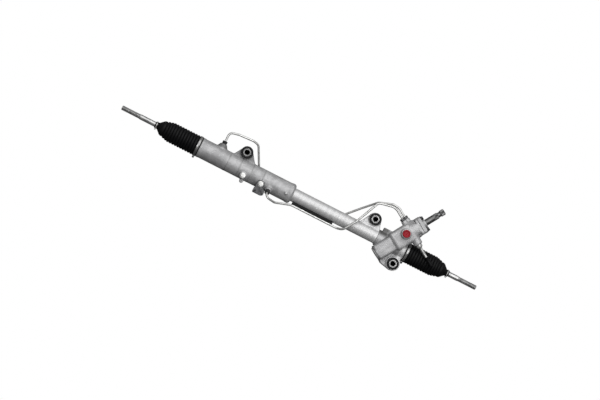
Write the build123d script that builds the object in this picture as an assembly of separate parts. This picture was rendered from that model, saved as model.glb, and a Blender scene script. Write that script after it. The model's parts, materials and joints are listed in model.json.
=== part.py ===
"""Hydraulic rack and pinion steering gear, modelled in millimetres.

X runs along the rack towards the pinion end, Y along the mounting bolts towards the vehicle and Z up.
Everything is placed about the rack axis first. One shift then puts the origin in the middle of the
bore of the upper bushing at the pinion end.
"""
from build123d import *
import math
import os

os.makedirs("parts", exist_ok=True)

# Gaps between neighbours
seat_gap = 0.05
running_gap = 0.05
soft_gap = 0.3

# Rack and its travel
rack_radius = 13.5
stroke = 75.0
stop_slack = 1.0
tooth_module = 1.95
pressure_angle = 20.0
rack_tooth_angle = 8.0
rack_reference = 9.0
tooth_clearance = 0.25
backlash = 0.14
tooth_margin = 14.0

# Pinion and its shaft
pinion_teeth = 8
pinion_tilt = 32.0
pinion_x = 288.0
profile_shift = 0.5
pinion_addendum = 0.9
pinion_half_length = 17.0
pinion_neck_radius = 9.0
lower_journal_radius = 6.0

# Cylinder casting, with the piston chamber
cylinder_left = -318.0
cylinder_right = -22.0
cylinder_radius = 28.5
chamber_radius = 21.0
rim_height = 1.0
rim_width = 5.0
bulkhead = 12.0
tube_socket = 14.0
cylinder_ribs = (-233.0, -159.0)
pip_place = (-42.0, -7.0)
pip_radius = 4.0
pip_height = 2.5

# Boot seats and the stops inside them
boot_seat_radius = 25.5
boot_seat_length = 12.0
stop_depth = 18.0
recess_radius = 19.5

# Centre tube
tube_radius = 20.0
tube_wall = 4.0
tube_insert = 12.0
tube_bands = (57.0, 131.0)
band_height = 0.7
band_width = 3.0

# Gear housing
gear_left = 244.0
gear_neck = 318.0
boot_seat_right = 335.0
gear_barrel_radius = 24.0
gear_neck_radius = 23.0
rack_bore_radius = 15.5
pinion_barrel_radius = 22.5
lobe_radius = 28.0
lobe_base = 32.0
tower_top = 98.0
tower_taper = 14.0
tower_mouth_radius = 24.0
tower_flange_height = 8.0
barrel_bottom = -50.0
guide_boss_radius = 23.0
guide_boss_reach = 46.0
lug_size = (30.0, 20.0, 20.0)
lug_start = 9.0

# Bushing eyes: the place of each centre and the length along Y
left_bushing = (-192.0, 46.9)
upper_bushing = (218.0, 43.5)
lower_bushing = (319.0, -46.6)
eye_radius = 17.2
lower_eye_radius = 20.5
upper_eye_wall = 1.5
lower_ear_half_thickness = 12.0
eye_half_length = 14.0
bushing_half_length = 19.0
rubber_radius = 17.7
shell_radius = 15.0
shell_wall = 1.2
sleeve_radius = 11.8
bolt_hole_radius = 7.3
web_half_thickness = 9.0

# Feet of the ears' webs, as reaches from the eye's centre
left_foot_reach = (34.0, 17.0, 22.0, 38.0)
left_foot_drop = 8.0
left_foot_sink = 4.5
upper_foot_reach = 38.0
upper_foot_sink = 6.0
lower_foot = ((-66.0, 10.0), (-32.0, -14.0), (-20.0, 40.0), (10.0, 36.0))

# Ball joints and tie rods
ball_radius = 11.0
liner_wall = 1.6
socket_radius = 18.0
socket_back = 15.5
socket_lip = 5.0
seat_back = 5.5
ball_flat = 8.0
cavity_depth = 11.4
socket_front = 10.0
socket_flat = 15.8
socket_flat_length = 12.0
washer_thickness = 2.5
claw_thickness = 2.0
claw_width = 8.0
claw_reach = 6.0
stud_radius = 7.0
stud_length = 26.0
rod_neck_radius = 6.0
neck_end = 20.0
neck_flare = 6.0
rod_radius = 7.5
thread_radius = 7.0
thread_length = 58.0
left_rod_length = 158.0
right_rod_length = 141.0

# Boots
boot_radius = 29.5
boot_wall = 2.0
boot_folds = 12
fold_pitch = 8.2
fold_depth = 3.4
taper_start = 4.0
taper_end = 30.0
taper_radius = 22.0
boot_past_ball = 53.0
cuff_radius = 9.6
cuff_length = 9.0
cuff_ring_width = 4.0
band_clamp_width = 7.0
band_clamp_wall = 0.9

# Valve, bearings and cover
sleeve_outer = 17.0
rotor_radius = 10.4
bearing_radius = 16.0
upper_bearing_radius = 14.5
bearing_width = 10.0
lower_bearing_z = -24.0
bush_start = 24.0
bush_length = 12.0
bush_radius = 15.0
seal_radius = 12.5
oil_seal_length = 6.0
nut_flats = 17.0
nut_height = 6.0
cap_rim = 2.5
cap_height = 3.0
cap_bore_radius = 11.5
valve_start = 46.0
valve_length = 42.0
head_length = 5.0
flute_count = 6
flute_depth = 1.1
flute_width = 2.4
flute_length = 30.0
flute_end_gap = 2.0
sleeve_groove_depth = 1.6
sleeve_groove_width = 6.0
cover_bearing_z = 92.0
cover_flange = 10.0
cover_half_width = 25.0
cover_corner = 8.0
cover_bolt_offset = 18.0
cover_neck_radius = 14.5
cover_top = 117.0
cover_bolt_radius = 3.0
cover_bolt_depth = 14.0
cover_bolt_collar = 6.4
cover_bolt_flats = 10.0
shaft_radius = 9.5
spline_radius = 9.3
spline_gap = 1.5
shaft_tip = 179.0
shaft_chamfer = 1.5
pinch_groove = 17.0
pinch_groove_depth = 1.8
pinch_groove_half = 3.5
pinch_groove_slope = 1.5
torsion_end_radius = 3.25
torsion_waist_radius = 2.4
torsion_foot_length = 14.0
torsion_slope = 4.0
torsion_head_start = 120.0
torsion_bore = 3.3
shaft_pin_w = 128.0
pin_radius = 1.5

# Rack guide at the back of the pinion
guide_radius = 16.0
guide_face = 2.0
guide_length = 22.0
guide_seat = 18.0
guide_spring_radius = 8.0
guide_wire_radius = 1.3
guide_play = 0.8
guide_plug_floor = 12.0
guide_plug_proud = 1.5
guide_plug_socket = 17.0
guide_nut_height = 7.0
guide_nut_flats = 42.0

# Seals, stops and the piston
piston_width = 16.0
piston_ring_width = 4.0
piston_groove = 3.0
inner_seal_width = 12.0
end_bushing_width = 26.0
retainer_width = 2.0

# Hydraulic pipes, ports and unions
pipe_radius = 3.2
union_flats = 14.0
union_height = 8.0
union_thread_radius = 6.0
union_thread_depth = 11.0
port_boss_radius = 10.0
port_boss_start = 12.0
port_drilling = 24.0
port_foot_flare = 1.55
port_foot_height = 6.0
left_port_x = -261.0
right_port_x = -91.0
left_port_height = 40.0
right_port_reach = 40.0
right_port_angle = 50.0
rear_port_place = (75.0, -11.5)
front_port_place = (65.0, -28.0)
return_port_place = (66.0, -36.0)
port_face = 38.0
return_reach = 50.0
return_boss_start = 8.0
return_boss_radius = 10.0
return_collar_radius = 8.5
return_collar_length = 14.0
return_stub_radius = 3.8
return_stub_length = 60.0
return_cap_start = 33.0
return_cap_radius = 5.4
pressure_port_place = (-4.0, -37.5, 50.0)
pressure_boss_radius = 14.5
pressure_boss_depth = 18.0
pressure_hole_radius = 7.0
plug_radius = 11.5

# Corners of the two pipes between the reaches out of their ports, and the bends in order
port_dip = 6.0
outer_pipe_reach = 35.0
outer_pipe_corners = (
    (246, -8, 105),
    (206, 2, 91),
    (170, 22, 54),
    (128, 38, 8),
    (40, 40, -2),
    (-70, 41, -2),
    (-128, 37, 0),
    (-173, 9, 82),
    (-190, 3, 85),
    (-234, 0, 82),
    (left_port_x, 0, 76),
)
outer_pipe_bends = (14, 14, 22, 40, 40, 60, 60, 30, 16, 16, 30, 13)
below_tube = -29.0
inner_pipe_reach = 36.0
inner_pipe_end = 25.0
inner_pipe_y = -10.0
inner_pipe_corners = (
    (246, -29, 97),
    (204, -30, 88),
    (172, -29, 14),
    (148, -24, -25),
    (132, inner_pipe_y - 1, below_tube),
    (40, inner_pipe_y, below_tube),
    (-14, inner_pipe_y - 1, below_tube),
    (-60, -30, -45),
)
inner_pipe_bends = (14, 16, 16, 30, 18, 18, 60, 30, 18, 11)
strip_left = -14.0
strip_right = 114.0
strip_half_width = 5.0

# Pads, bolts and bracket on the cylinder
pad_places = ((-174.0, -17.6), (-118.0, -16.2))
pad_radius = 9.5
pad_face = 30.0
pad_bolt_head = 8.2
pad_bolt_height = 5.0
pad_bolt_radius = 3.0
pad_bolt_flats = 12.0
washer_height = 1.6
bracket_thickness = 3.0
bracket_eye = 11.0
bracket_waist = 6.0
bracket_waist_drop = 16.0
bracket_drop = 31.0
bracket_foot_width = 24.0
bracket_lip = 9.0

# Values worked out from the sizes above
tilt = math.radians(pinion_tilt)
lead = math.radians(rack_tooth_angle)
helix = tilt - lead
normal_pitch = math.pi * tooth_module
pitch_radius = pinion_teeth * tooth_module / (2 * math.cos(helix))
pinion_offset = rack_reference + pitch_radius + profile_shift * tooth_module
pinion_tip_radius = pitch_radius + (pinion_addendum + profile_shift) * tooth_module
pinion_bore_radius = pinion_tip_radius + 1.2

housing_left = cylinder_left - boot_seat_length
housing_right = boot_seat_right + boot_seat_length
stop_left = housing_left + stop_depth
stop_right = housing_right - stop_depth
rack_left = stop_left - stroke - stop_slack
rack_right = stop_right + stroke + stop_slack
ball_back = socket_back + washer_thickness
ball_left = rack_left - ball_back
ball_right = rack_right + ball_back
piston_x = (left_port_x + right_port_x) / 2
valve_bore_radius = sleeve_outer + running_gap
tube_left = cylinder_right - tube_socket
tube_right = gear_left + tube_insert
tube_bore = tube_radius - tube_wall
liner_radius = ball_radius + running_gap + liner_wall
cavity_radius = liner_radius + running_gap
ball_flat_radius = math.sqrt(ball_radius**2 - ball_flat**2)
bearing_bore = bearing_radius + seat_gap
nut_start = lower_bearing_z - bearing_width
head_top = valve_start + head_length
valve_end = valve_start + valve_length
bar_foot_w = pinion_half_length + 1.0
pinion_seal_start = bush_start + bush_length + 1.0
input_seal_start = cover_bearing_z + bearing_width + 0.5
guide_back = guide_face + guide_length
plug_front = guide_back + guide_play
plug_back = guide_boss_reach + guide_nut_height + guide_plug_proud
spline_start = cover_top + spline_gap
cuff_start = boot_past_ball - cuff_length

# Working planes: local z is the axis of the turned parts that stand on it
RACK = Plane(origin=(0, 0, 0), x_dir=(0, 1, 0), z_dir=(1, 0, 0))
PINION = Plane(
    origin=(pinion_x, -pinion_offset, 0),
    x_dir=(math.cos(tilt), 0, -math.sin(tilt)),
    z_dir=(math.sin(tilt), 0, math.cos(tilt)),
)
GUIDE = Plane(origin=(pinion_x, 0, 0), x_dir=(1, 0, 0), z_dir=(0, 1, 0))
FRONT = Plane(origin=(0, 0, 0), x_dir=(1, 0, 0), z_dir=(0, -1, 0))
ORIGIN_SHIFT = Location((-upper_bushing[0], 0, -upper_bushing[1]))


# Shape helpers
def rod(plane, start, end, radius):
    """A cylinder on the plane's own z axis, from start to end."""
    low, high = min(start, end), max(start, end)
    body = Cylinder(radius, high - low, align=(Align.CENTER, Align.CENTER, Align.MIN))
    return plane * (Pos(0, 0, low) * body)


def ring(plane, start, end, outer, inner):
    """A round washer or sleeve on the plane's z axis."""
    return rod(plane, start, end, outer) - rod(plane, start - 1, end + 1, inner)


def turned(plane, outline, *arcs):
    """Revolves an outline of (radius, place along the axis) about the plane's z axis; arcs close it."""
    sketch = Plane(origin=plane.origin, x_dir=plane.x_dir, z_dir=-plane.y_dir)
    edges = [Polyline(*outline, close=not arcs), *arcs]
    return revolve(sketch * make_face(edges), axis=Axis(plane.origin, plane.z_dir))


def ball_arc(radius, start, end):
    """An arc of a ball's outline, from one place along the axis to another."""
    ends = [(math.sqrt(radius**2 - place**2), place) for place in (start, end)]
    return ThreePointArc(ends[0], (radius, 0), ends[1])


def prism(plane, start, end, flats):
    """A hexagonal bar with the given width across its flats."""
    section = RegularPolygon(flats / 2, 6, major_radius=False)
    return extrude(plane * (Pos(0, 0, start) * section), end - start)


def shifted(plane, x, y, z=0):
    """The same plane, moved in its own directions."""
    return plane.offset(z).shift_origin(plane.offset(z).from_local_coords((x, y, 0)))


def across_y(x, z):
    """A plane whose z axis is the row's Y axis through (x, z)."""
    return Plane(origin=(x, 0, z), x_dir=(1, 0, 0), z_dir=(0, 1, 0))


def outward(x, sign):
    """A plane on the rack axis at x whose z axis points out of the rack on that side."""
    return Plane(origin=(x, 0, 0), x_dir=(0, 1, 0), z_dir=(sign, 0, 0))


def save(name, *solids):
    """Writes one node, in the row's own frame."""
    moved = [solid.moved(ORIGIN_SHIFT) for solid in solids]
    body = moved[0] if len(moved) == 1 else Compound(children=moved)
    export_step(body, f"parts/{name}.step")


# Castings
def ear(x, z, radius, foot, half):
    """A cast ear: the eye of a bushing with a web running tangent to it from its foot."""
    eye = make_face(CenterArc((x, z), radius, 0, 360))
    web = make_hull((eye + make_face(Polyline(*foot, close=True))).edges())
    plate = extrude(FRONT * web, half, both=True)
    return plate + rod(across_y(x, z), -eye_half_length, eye_half_length, radius)


def eye_bore(x, z):
    """The bore that a bushing is pressed into."""
    reach = eye_half_length + lower_eye_radius
    return rod(across_y(x, z), -reach, reach, shell_radius + seat_gap)


def left_port():
    """The plane of the outer chamber's port, on top of the cylinder."""
    return Plane(origin=(left_port_x, 0, left_port_height), x_dir=(1, 0, 0), z_dir=(0, 0, 1))


def right_port():
    """The plane of the inner chamber's port, facing forwards and a little down."""
    turn = math.radians(right_port_angle)
    way = (0, -math.sin(turn), -math.cos(turn))
    place = (right_port_x, way[1] * right_port_reach, way[2] * right_port_reach)
    return Plane(origin=place, x_dir=(1, 0, 0), z_dir=way)


def port_hole(port, reach):
    """The drilling of a port with its seat for the union's thread."""
    seat = rod(port, -union_thread_depth, 1, union_thread_radius + seat_gap)
    return seat + rod(port, -reach, 0, pipe_radius)


def cylinder_housing():
    """The cast cylinder, its ear, ports, pads and the bulkhead that carries the centre tube."""
    rim = cylinder_radius + rim_height
    outline = [
        (0, housing_left),
        (boot_seat_radius, housing_left),
        (boot_seat_radius, cylinder_left),
        (rim, cylinder_left),
        (rim, cylinder_left + rim_width),
        (cylinder_radius, cylinder_left + rim_width + rim_height),
    ]
    for rib in cylinder_ribs:
        outline += [
            (cylinder_radius, rib - band_width / 2),
            (cylinder_radius + band_height, rib),
            (cylinder_radius, rib + band_width / 2),
        ]
    outline += [
        (cylinder_radius, cylinder_right - 3 * rim_width),
        (rim, cylinder_right - 3 * rim_width + rim_height),
        (rim, cylinder_right - rim_width),
        (rim - rim_width, cylinder_right),
        (0, cylinder_right),
    ]
    body = turned(RACK, outline)
    x, z = left_bushing
    low, top = cylinder_radius - left_foot_sink, z - left_foot_drop
    first, second, third, fourth = left_foot_reach
    foot = [(x - first, low), (x - second, top), (x + third, top), (x + fourth, low)]
    body += ear(x, z, eye_radius, foot, web_half_thickness)
    port = left_port()
    base = port_foot_flare * port_boss_radius
    low = chamber_radius + 2 - left_port_height
    cone = [(0, low), (base, low), (base, low + port_foot_height), (port_boss_radius - 1, 0), (0, 0)]
    body += turned(port, cone)
    front = right_port()
    body += rod(front, chamber_radius + 2 - right_port_reach, 0, port_boss_radius)
    for px, pz in pad_places:
        body += rod(across_y(px, pz), -pad_face, -cylinder_radius / 2, pad_radius)
    px, pz = pad_places[0]
    body += rod(across_y(px + 3, pz - 14.5), -cylinder_radius / 2, -2, 6)
    body += rod(across_y(*pip_place), -cylinder_radius - pip_height, -chamber_radius, pip_radius)
    body -= rod(RACK, housing_left - 1, cylinder_right - tube_socket - bulkhead, chamber_radius)
    body -= rod(RACK, housing_left, cylinder_right, rack_bore_radius)
    body -= rod(RACK, tube_left, cylinder_right + 1, tube_radius + seat_gap)
    body -= eye_bore(*left_bushing)
    body -= port_hole(port, left_port_height - chamber_radius + 2)
    body -= port_hole(front, right_port_reach - chamber_radius + 2)
    for px, pz in pad_places:
        body -= rod(across_y(px, pz), -pad_face - 1, -pad_face + 9, pad_bolt_radius + seat_gap)
    return body


def centre_tube():
    """The tube between the cylinder and the gear housing, with the upper ear cast on."""
    outline = [(tube_bore, tube_left), (tube_radius, tube_left)]
    for band in tube_bands:
        outline += [
            (tube_radius, band - band_width / 2),
            (tube_radius + band_height, band),
            (tube_radius, band + band_width / 2),
        ]
    outline += [(tube_radius, tube_right), (tube_bore, tube_right)]
    body = turned(RACK, outline)
    x, z = upper_bushing
    edge = gear_left - seat_gap
    low = tube_radius - upper_foot_sink
    foot = [(x - upper_foot_reach, low), (edge, low), (edge, tube_radius)]
    ear_body = ear(x, z, eye_radius + upper_eye_wall, foot, web_half_thickness)
    ear_body -= rod(RACK, tube_left, tube_right, tube_radius - 1)
    return body + ear_body - eye_bore(x, z)


def tower_flange(start, end):
    """The square flange with rounded corners at the top of the valve tower."""
    section = RectangleRounded(2 * cover_half_width, 2 * cover_half_width, cover_corner)
    return extrude(PINION * (Pos(0, 0, start) * section), end - start)


def cover_bolt_places():
    """Where the four cover bolts stand about the pinion axis."""
    sides = (-cover_bolt_offset, cover_bolt_offset)
    return [(x, y) for x in sides for y in sides]


def side_port(w, y, sign):
    """A plane on the tower whose z axis runs across the pinion axis, towards -h or +h."""
    across = PINION.x_dir * sign
    origin = PINION.from_local_coords((0, y + pinion_offset, w))
    return Plane(origin=origin, x_dir=(0, 1, 0), z_dir=across)


REAR_PORT = side_port(*rear_port_place, -1)
FRONT_PORT = side_port(*front_port_place, -1)
RETURN_PORT = side_port(*return_port_place, 1)
PRESSURE_PORT = Plane(
    origin=PINION.from_local_coords(pressure_port_place), x_dir=PINION.x_dir, z_dir=(0, -1, 0)
)


def gear_housing():
    """The cast housing of the rack's teeth, the pinion, the guide and the valve, with the lower ear."""
    body = turned(
        RACK,
        [
            (0, gear_left),
            (gear_barrel_radius, gear_left),
            (gear_barrel_radius, gear_neck),
            (gear_neck_radius, gear_neck),
            (gear_neck_radius, boot_seat_right),
            (boot_seat_radius, boot_seat_right),
            (boot_seat_radius, housing_right),
            (0, housing_right),
        ],
    )
    body += rod(PINION, barrel_bottom, lobe_base, pinion_barrel_radius)
    lobe = rod(PINION, lobe_base, tower_top - tower_taper, lobe_radius)
    lobe += PINION * (Pos(0, 0, lobe_base) * Sphere(lobe_radius))
    body += lobe
    shoulder = tower_top - tower_taper
    neck = [(0, shoulder), (lobe_radius, shoulder), (tower_mouth_radius, tower_top), (0, tower_top)]
    body += turned(PINION, neck)
    body += tower_flange(tower_top - tower_flange_height, tower_top)
    body += rod(GUIDE, 0, guide_boss_reach, guide_boss_radius)
    x, z = lower_bushing
    foot = [(x + along, z + up) for along, up in lower_foot]
    body += ear(x, z, lower_eye_radius, foot, lower_ear_half_thickness)
    lug_x = gear_left + lug_start + lug_size[0] / 2
    body += Pos(lug_x, 0, gear_barrel_radius + 1) * Box(*lug_size)
    body += rod(REAR_PORT, port_boss_start, port_face, port_boss_radius)
    body += rod(FRONT_PORT, port_boss_start, port_face, port_boss_radius - 1)
    body += rod(RETURN_PORT, return_boss_start, return_reach - return_collar_length, return_boss_radius)
    body += rod(PRESSURE_PORT, -pressure_boss_depth, 0, pressure_boss_radius)
    # Room for the bottom cap's rim and for the boot's cuff
    body -= rod(PINION, barrel_bottom - 12, barrel_bottom, pinion_barrel_radius)
    body -= ring(
        RACK, boot_seat_right, boot_seat_right + 2 * boot_seat_length, boot_radius + 1.5, boot_seat_radius
    )
    # Bores along the rack
    body -= rod(RACK, gear_left - 1, gear_left + tube_insert, tube_radius + seat_gap)
    body -= rod(RACK, gear_left, housing_right, rack_bore_radius)
    body -= rod(RACK, stop_right, housing_right + 1, recess_radius)
    # Bores along the pinion
    body -= rod(PINION, barrel_bottom - 1, lower_bearing_z, bearing_bore)
    body -= rod(PINION, lower_bearing_z, bush_start, pinion_bore_radius)
    body -= rod(PINION, bush_start, valve_start, bush_radius + seat_gap)
    body -= rod(PINION, valve_start, tower_top + 1, valve_bore_radius)
    for h, y in cover_bolt_places():
        place = shifted(PINION, h, y)
        body -= rod(place, tower_top - cover_bolt_depth - 2, tower_top + 1, cover_bolt_radius + seat_gap)
    # Guide bore, ports and ear
    body -= rod(GUIDE, 0, guide_boss_reach + 1, guide_radius + seat_gap)
    body -= port_hole(REAR_PORT.offset(port_face), port_drilling)
    body -= port_hole(FRONT_PORT.offset(port_face), port_drilling)
    body -= rod(RETURN_PORT, return_boss_start, return_reach, union_thread_radius + seat_gap)
    body -= rod(PRESSURE_PORT, 2 - pressure_boss_depth, 1, pressure_hole_radius)
    body -= eye_bore(*lower_bushing)
    return body


def valve_cover():
    """The cap of the valve tower, with the upper bearing's seat and the seal's bore."""
    spigot = valve_bore_radius - seat_gap
    outline = [
        (upper_bearing_radius + seat_gap, cover_bearing_z),
        (spigot, cover_bearing_z),
        (spigot, tower_top + cover_flange),
        (cover_neck_radius, tower_top + cover_flange),
        (cover_neck_radius, cover_top - 1.5),
        (cover_neck_radius - 1.5, cover_top),
        (shaft_radius + 1.5, cover_top),
        (shaft_radius + 1.5, cover_top - 3),
        (seal_radius + seat_gap, cover_top - 3),
        (seal_radius + seat_gap, cover_bearing_z + bearing_width),
        (upper_bearing_radius + seat_gap, cover_bearing_z + bearing_width),
    ]
    body = turned(PINION, outline)
    flange = tower_flange(tower_top, tower_top + cover_flange)
    flange -= rod(PINION, tower_top - 1, tower_top + cover_flange + 1, spigot - 1)
    for h, y in cover_bolt_places():
        place = shifted(PINION, h, y)
        flange -= rod(place, tower_top - 1, tower_top + cover_flange + 1, cover_bolt_radius + seat_gap)
    return body + flange


def cover_bolts():
    """Four flanged hexagon bolts that hold the cover."""
    bolts = []
    seat = tower_top + cover_flange
    for h, y in cover_bolt_places():
        place = shifted(PINION, h, y)
        bolt = rod(place, tower_top - cover_bolt_depth, seat, cover_bolt_radius)
        bolt += rod(place, seat, seat + washer_height, cover_bolt_collar)
        bolt += prism(place, seat + washer_height, seat + 2.5 * cover_bolt_radius, cover_bolt_flats)
        bolts.append(bolt)
    return bolts


# Rack, pinion and valve
def rack_bar():
    """The round bar with its row of slanting teeth on the pinion's side and a threaded hole in each end."""
    bar = rod(RACK, rack_left, rack_right, rack_radius)
    for end, sign in ((rack_left, -1), (rack_right, 1)):
        bar -= rod(outward(end, sign), -stud_length - 1, 1, stud_radius)
    first = pinion_x - stroke - tooth_margin
    last = pinion_x + stroke + tooth_margin
    # The teeth run across the bar in the direction of the lead, so they are cut in a plane normal to it
    normal = (math.cos(lead), 0, -math.sin(lead))
    across = Plane(origin=(pinion_x, 0, 0), x_dir=normal, z_dir=(math.sin(lead), 0, math.cos(lead)))
    tip = rack_reference + tooth_module
    root = rack_reference - (1 + tooth_clearance) * tooth_module
    slope = math.tan(math.radians(pressure_angle))
    half_gap = normal_pitch / 4
    count = math.floor((last - first) / (normal_pitch / math.cos(lead)) / 2)
    span = (count + 0.5) * normal_pitch
    reach = 2 * rack_radius
    outline = [(-span - 1.2, -reach), (span + 1.2, -reach), (span, -tip)]
    for tooth in range(count, -count - 1, -1):
        centre = tooth * normal_pitch
        wide = half_gap + (tip - rack_reference) * slope
        narrow = half_gap - (rack_reference - root) * slope
        outline += [
            (centre + wide, -tip),
            (centre + narrow, -root),
            (centre - narrow, -root),
            (centre - wide, -tip),
        ]
    outline += [(-span, -tip)]
    cutter = extrude(across * make_face(Polyline(*outline, close=True)), reach, both=True)
    return bar - cutter


def involute_flank(base, start, end, steps):
    """Points (radius, angle) of an involute from one radius to another."""
    points = []
    for step in range(steps + 1):
        radius = start + (end - start) * step / steps
        roll = math.acos(base / radius)
        points.append((radius, math.tan(roll) - roll))
    return points


def pinion_section():
    """The transverse section of the pinion, one tooth pointing at the rack."""
    transverse_angle = math.atan(math.tan(math.radians(pressure_angle)) / math.cos(helix))
    base = pitch_radius * math.cos(transverse_angle)
    root = pitch_radius + (profile_shift - 1 - tooth_clearance) * tooth_module
    transverse_module = tooth_module / math.cos(helix)
    thickness = transverse_module * math.pi / 2
    thickness += 2 * profile_shift * tooth_module * math.tan(transverse_angle) - 2 * backlash
    roll = math.tan(transverse_angle) - transverse_angle
    half_angle = thickness / (2 * pitch_radius) + roll
    flank = involute_flank(base, base * 1.0005, pinion_tip_radius, 4)
    pitch_angle = 2 * math.pi / pinion_teeth
    edges = []

    def at(radius, angle):
        return (radius * math.cos(angle), radius * math.sin(angle))

    for tooth in range(pinion_teeth):
        middle = math.pi / 2 + tooth * pitch_angle
        right = [at(r, middle - half_angle + a) for r, a in flank]
        left = [at(r, middle + half_angle - a) for r, a in flank]
        next_right = at(flank[0][0], middle + pitch_angle - half_angle + flank[0][1])
        root_left = at(root, middle + half_angle)
        root_right = at(root, middle + pitch_angle - half_angle)
        root_middle = at(root, middle + pitch_angle / 2)
        edges += [
            Spline(*right),
            ThreePointArc(right[-1], at(pinion_tip_radius, middle), left[-1]),
            Spline(*reversed(left)),
            Line(left[0], root_left),
            ThreePointArc(root_left, root_middle, root_right),
            Line(root_right, next_right),
        ]
    return make_face(edges)


def pinion_shaft():
    """The helical pinion with its journals, and the head that the valve sleeve sits on."""
    turn = math.degrees(2 * pinion_half_length * math.tan(helix) / pitch_radius)
    section = PINION * (Pos(0, 0, -pinion_half_length) * (Rot(0, 0, -turn / 2) * pinion_section()))
    teeth = Solid.extrude_linear_with_rotation(
        section.faces()[0],
        PINION.from_local_coords((0, 0, -pinion_half_length)),
        PINION.z_dir * (2 * pinion_half_length),
        turn,
    )
    body = teeth + rod(PINION, nut_start - nut_height - 1, -pinion_half_length, lower_journal_radius)
    body += rod(PINION, pinion_half_length, valve_start, pinion_neck_radius)
    body += rod(PINION, valve_start, head_top, rotor_radius - 0.4)
    body -= rod(PINION, pinion_half_length, head_top + 1, torsion_bore)
    return body


def valve_sleeve():
    """The slotted sleeve round the rotor, pressed on the pinion's head, with its annular grooves."""
    low, high = valve_start + seat_gap, valve_end
    half, bottom = sleeve_groove_width / 2, sleeve_outer - sleeve_groove_depth
    outline = [(rotor_radius + running_gap, low), (sleeve_outer, low)]
    for number in range(1, 4):
        middle = low + (high - low) * number / 4
        outline += [
            (sleeve_outer, middle - half),
            (bottom, middle - half),
            (bottom, middle + half),
            (sleeve_outer, middle + half),
        ]
    outline += [(sleeve_outer, high), (rotor_radius + running_gap, high)]
    return turned(PINION, outline)


def input_shaft():
    """The valve rotor and the shaft that the steering column's joint clamps on."""
    groove = shaft_tip - pinch_groove
    outer = pinch_groove_half + pinch_groove_slope
    body = turned(
        PINION,
        [
            (torsion_bore, head_top + 0.5),
            (rotor_radius, head_top + 0.5),
            (rotor_radius, valve_end + 1),
            (shaft_radius, valve_end + 1),
            (shaft_radius, spline_start - 0.3),
            (spline_radius, spline_start),
            (spline_radius, groove - outer),
            (spline_radius - pinch_groove_depth, groove - pinch_groove_half),
            (spline_radius - pinch_groove_depth, groove + pinch_groove_half),
            (spline_radius, groove + outer),
            (spline_radius, shaft_tip - shaft_chamfer),
            (spline_radius - shaft_chamfer, shaft_tip),
            (torsion_bore, shaft_tip),
        ],
    )
    slot = Box(2 * flute_depth, flute_width, flute_length)
    for number in range(flute_count):
        turn = Rot(0, 0, 360 / flute_count * number)
        place = Pos(rotor_radius, 0, valve_end - flute_end_gap - flute_length / 2)
        body -= PINION * (turn * (place * slot))
    return body - rod(pin_plane(shaft_pin_w), -shaft_radius - 1, shaft_radius + 1, pin_radius)


def pin_plane(w):
    """A plane whose z axis crosses the pinion axis at w."""
    return Plane(origin=PINION.from_local_coords((0, 0, w)), x_dir=PINION.z_dir, z_dir=PINION.y_dir)


def torsion_bar():
    """The thin bar that centres the valve, pinned to the shaft and pressed in the pinion."""
    body = turned(
        PINION,
        [
            (0, bar_foot_w),
            (torsion_end_radius, bar_foot_w),
            (torsion_end_radius, bar_foot_w + torsion_foot_length),
            (torsion_waist_radius, bar_foot_w + torsion_foot_length + torsion_slope),
            (torsion_waist_radius, torsion_head_start - torsion_slope),
            (torsion_end_radius, torsion_head_start),
            (torsion_end_radius, shaft_tip - 2),
            (0, shaft_tip - 2),
        ],
    )
    return body - rod(pin_plane(shaft_pin_w), -shaft_radius, shaft_radius, pin_radius)


def torsion_pin():
    """The cross pin through the shaft and the torsion bar."""
    return rod(pin_plane(shaft_pin_w), -shaft_radius + 0.3, shaft_radius - 0.3, pin_radius - 0.03)


def bearing(start, bore, outer):
    """A ball bearing, with the step between its rings on both faces."""
    end = start + bearing_width
    third = (outer - bore) / 3
    recess = 0.8
    return turned(
        PINION,
        [
            (bore, start),
            (bore + third, start),
            (bore + third, start + recess),
            (outer - third, start + recess),
            (outer - third, start),
            (outer, start),
            (outer, end),
            (outer - third, end),
            (outer - third, end - recess),
            (bore + third, end - recess),
            (bore + third, end),
            (bore, end),
        ],
    )


def shaft_ring(start, length, outer, shaft):
    """A bush or a seal round the pinion's shaft."""
    return ring(PINION, start, start + length, outer, shaft + running_gap)


def pinion_nut():
    """The nut under the lower bearing."""
    nut = prism(PINION, nut_start - nut_height, nut_start - soft_gap, nut_flats)
    return nut - rod(PINION, nut_start - nut_height - 1, nut_start, lower_journal_radius + 0.02)


def bottom_cap():
    """The threaded plug that closes the pinion's lower bore."""
    return turned(
        PINION,
        [
            (0, barrel_bottom - cap_height),
            (bearing_radius + cap_rim, barrel_bottom - cap_height),
            (bearing_radius + cap_rim, barrel_bottom - seat_gap),
            (bearing_radius, barrel_bottom - seat_gap),
            (bearing_radius, nut_start - seat_gap),
            (cap_bore_radius, nut_start - seat_gap),
            (cap_bore_radius, barrel_bottom + 1),
            (0, barrel_bottom + 1),
        ],
    )


def rack_guide():
    """The yoke that presses the rack against the pinion, hollow at the back for its spring."""
    body = rod(GUIDE, guide_face, guide_back, guide_radius)
    body -= rod(RACK, pinion_x - guide_radius - 1, pinion_x + guide_radius + 1, rack_radius + running_gap)
    return body - rod(GUIDE, guide_seat, guide_back + 1, guide_spring_radius + 2)


def guide_spring():
    """The coil spring behind the guide, three turns of round wire."""
    wire = guide_wire_radius
    height = plug_front - guide_seat - 2 * wire - 2 * seat_gap
    coil = Helix(pitch=height / 2, height=height, radius=guide_spring_radius - wire)
    section = Plane(origin=coil @ 0, z_dir=coil % 0) * RegularPolygon(wire, 8)
    return GUIDE * (Pos(0, 0, guide_seat + wire + seat_gap) * sweep(section, path=coil))


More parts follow.
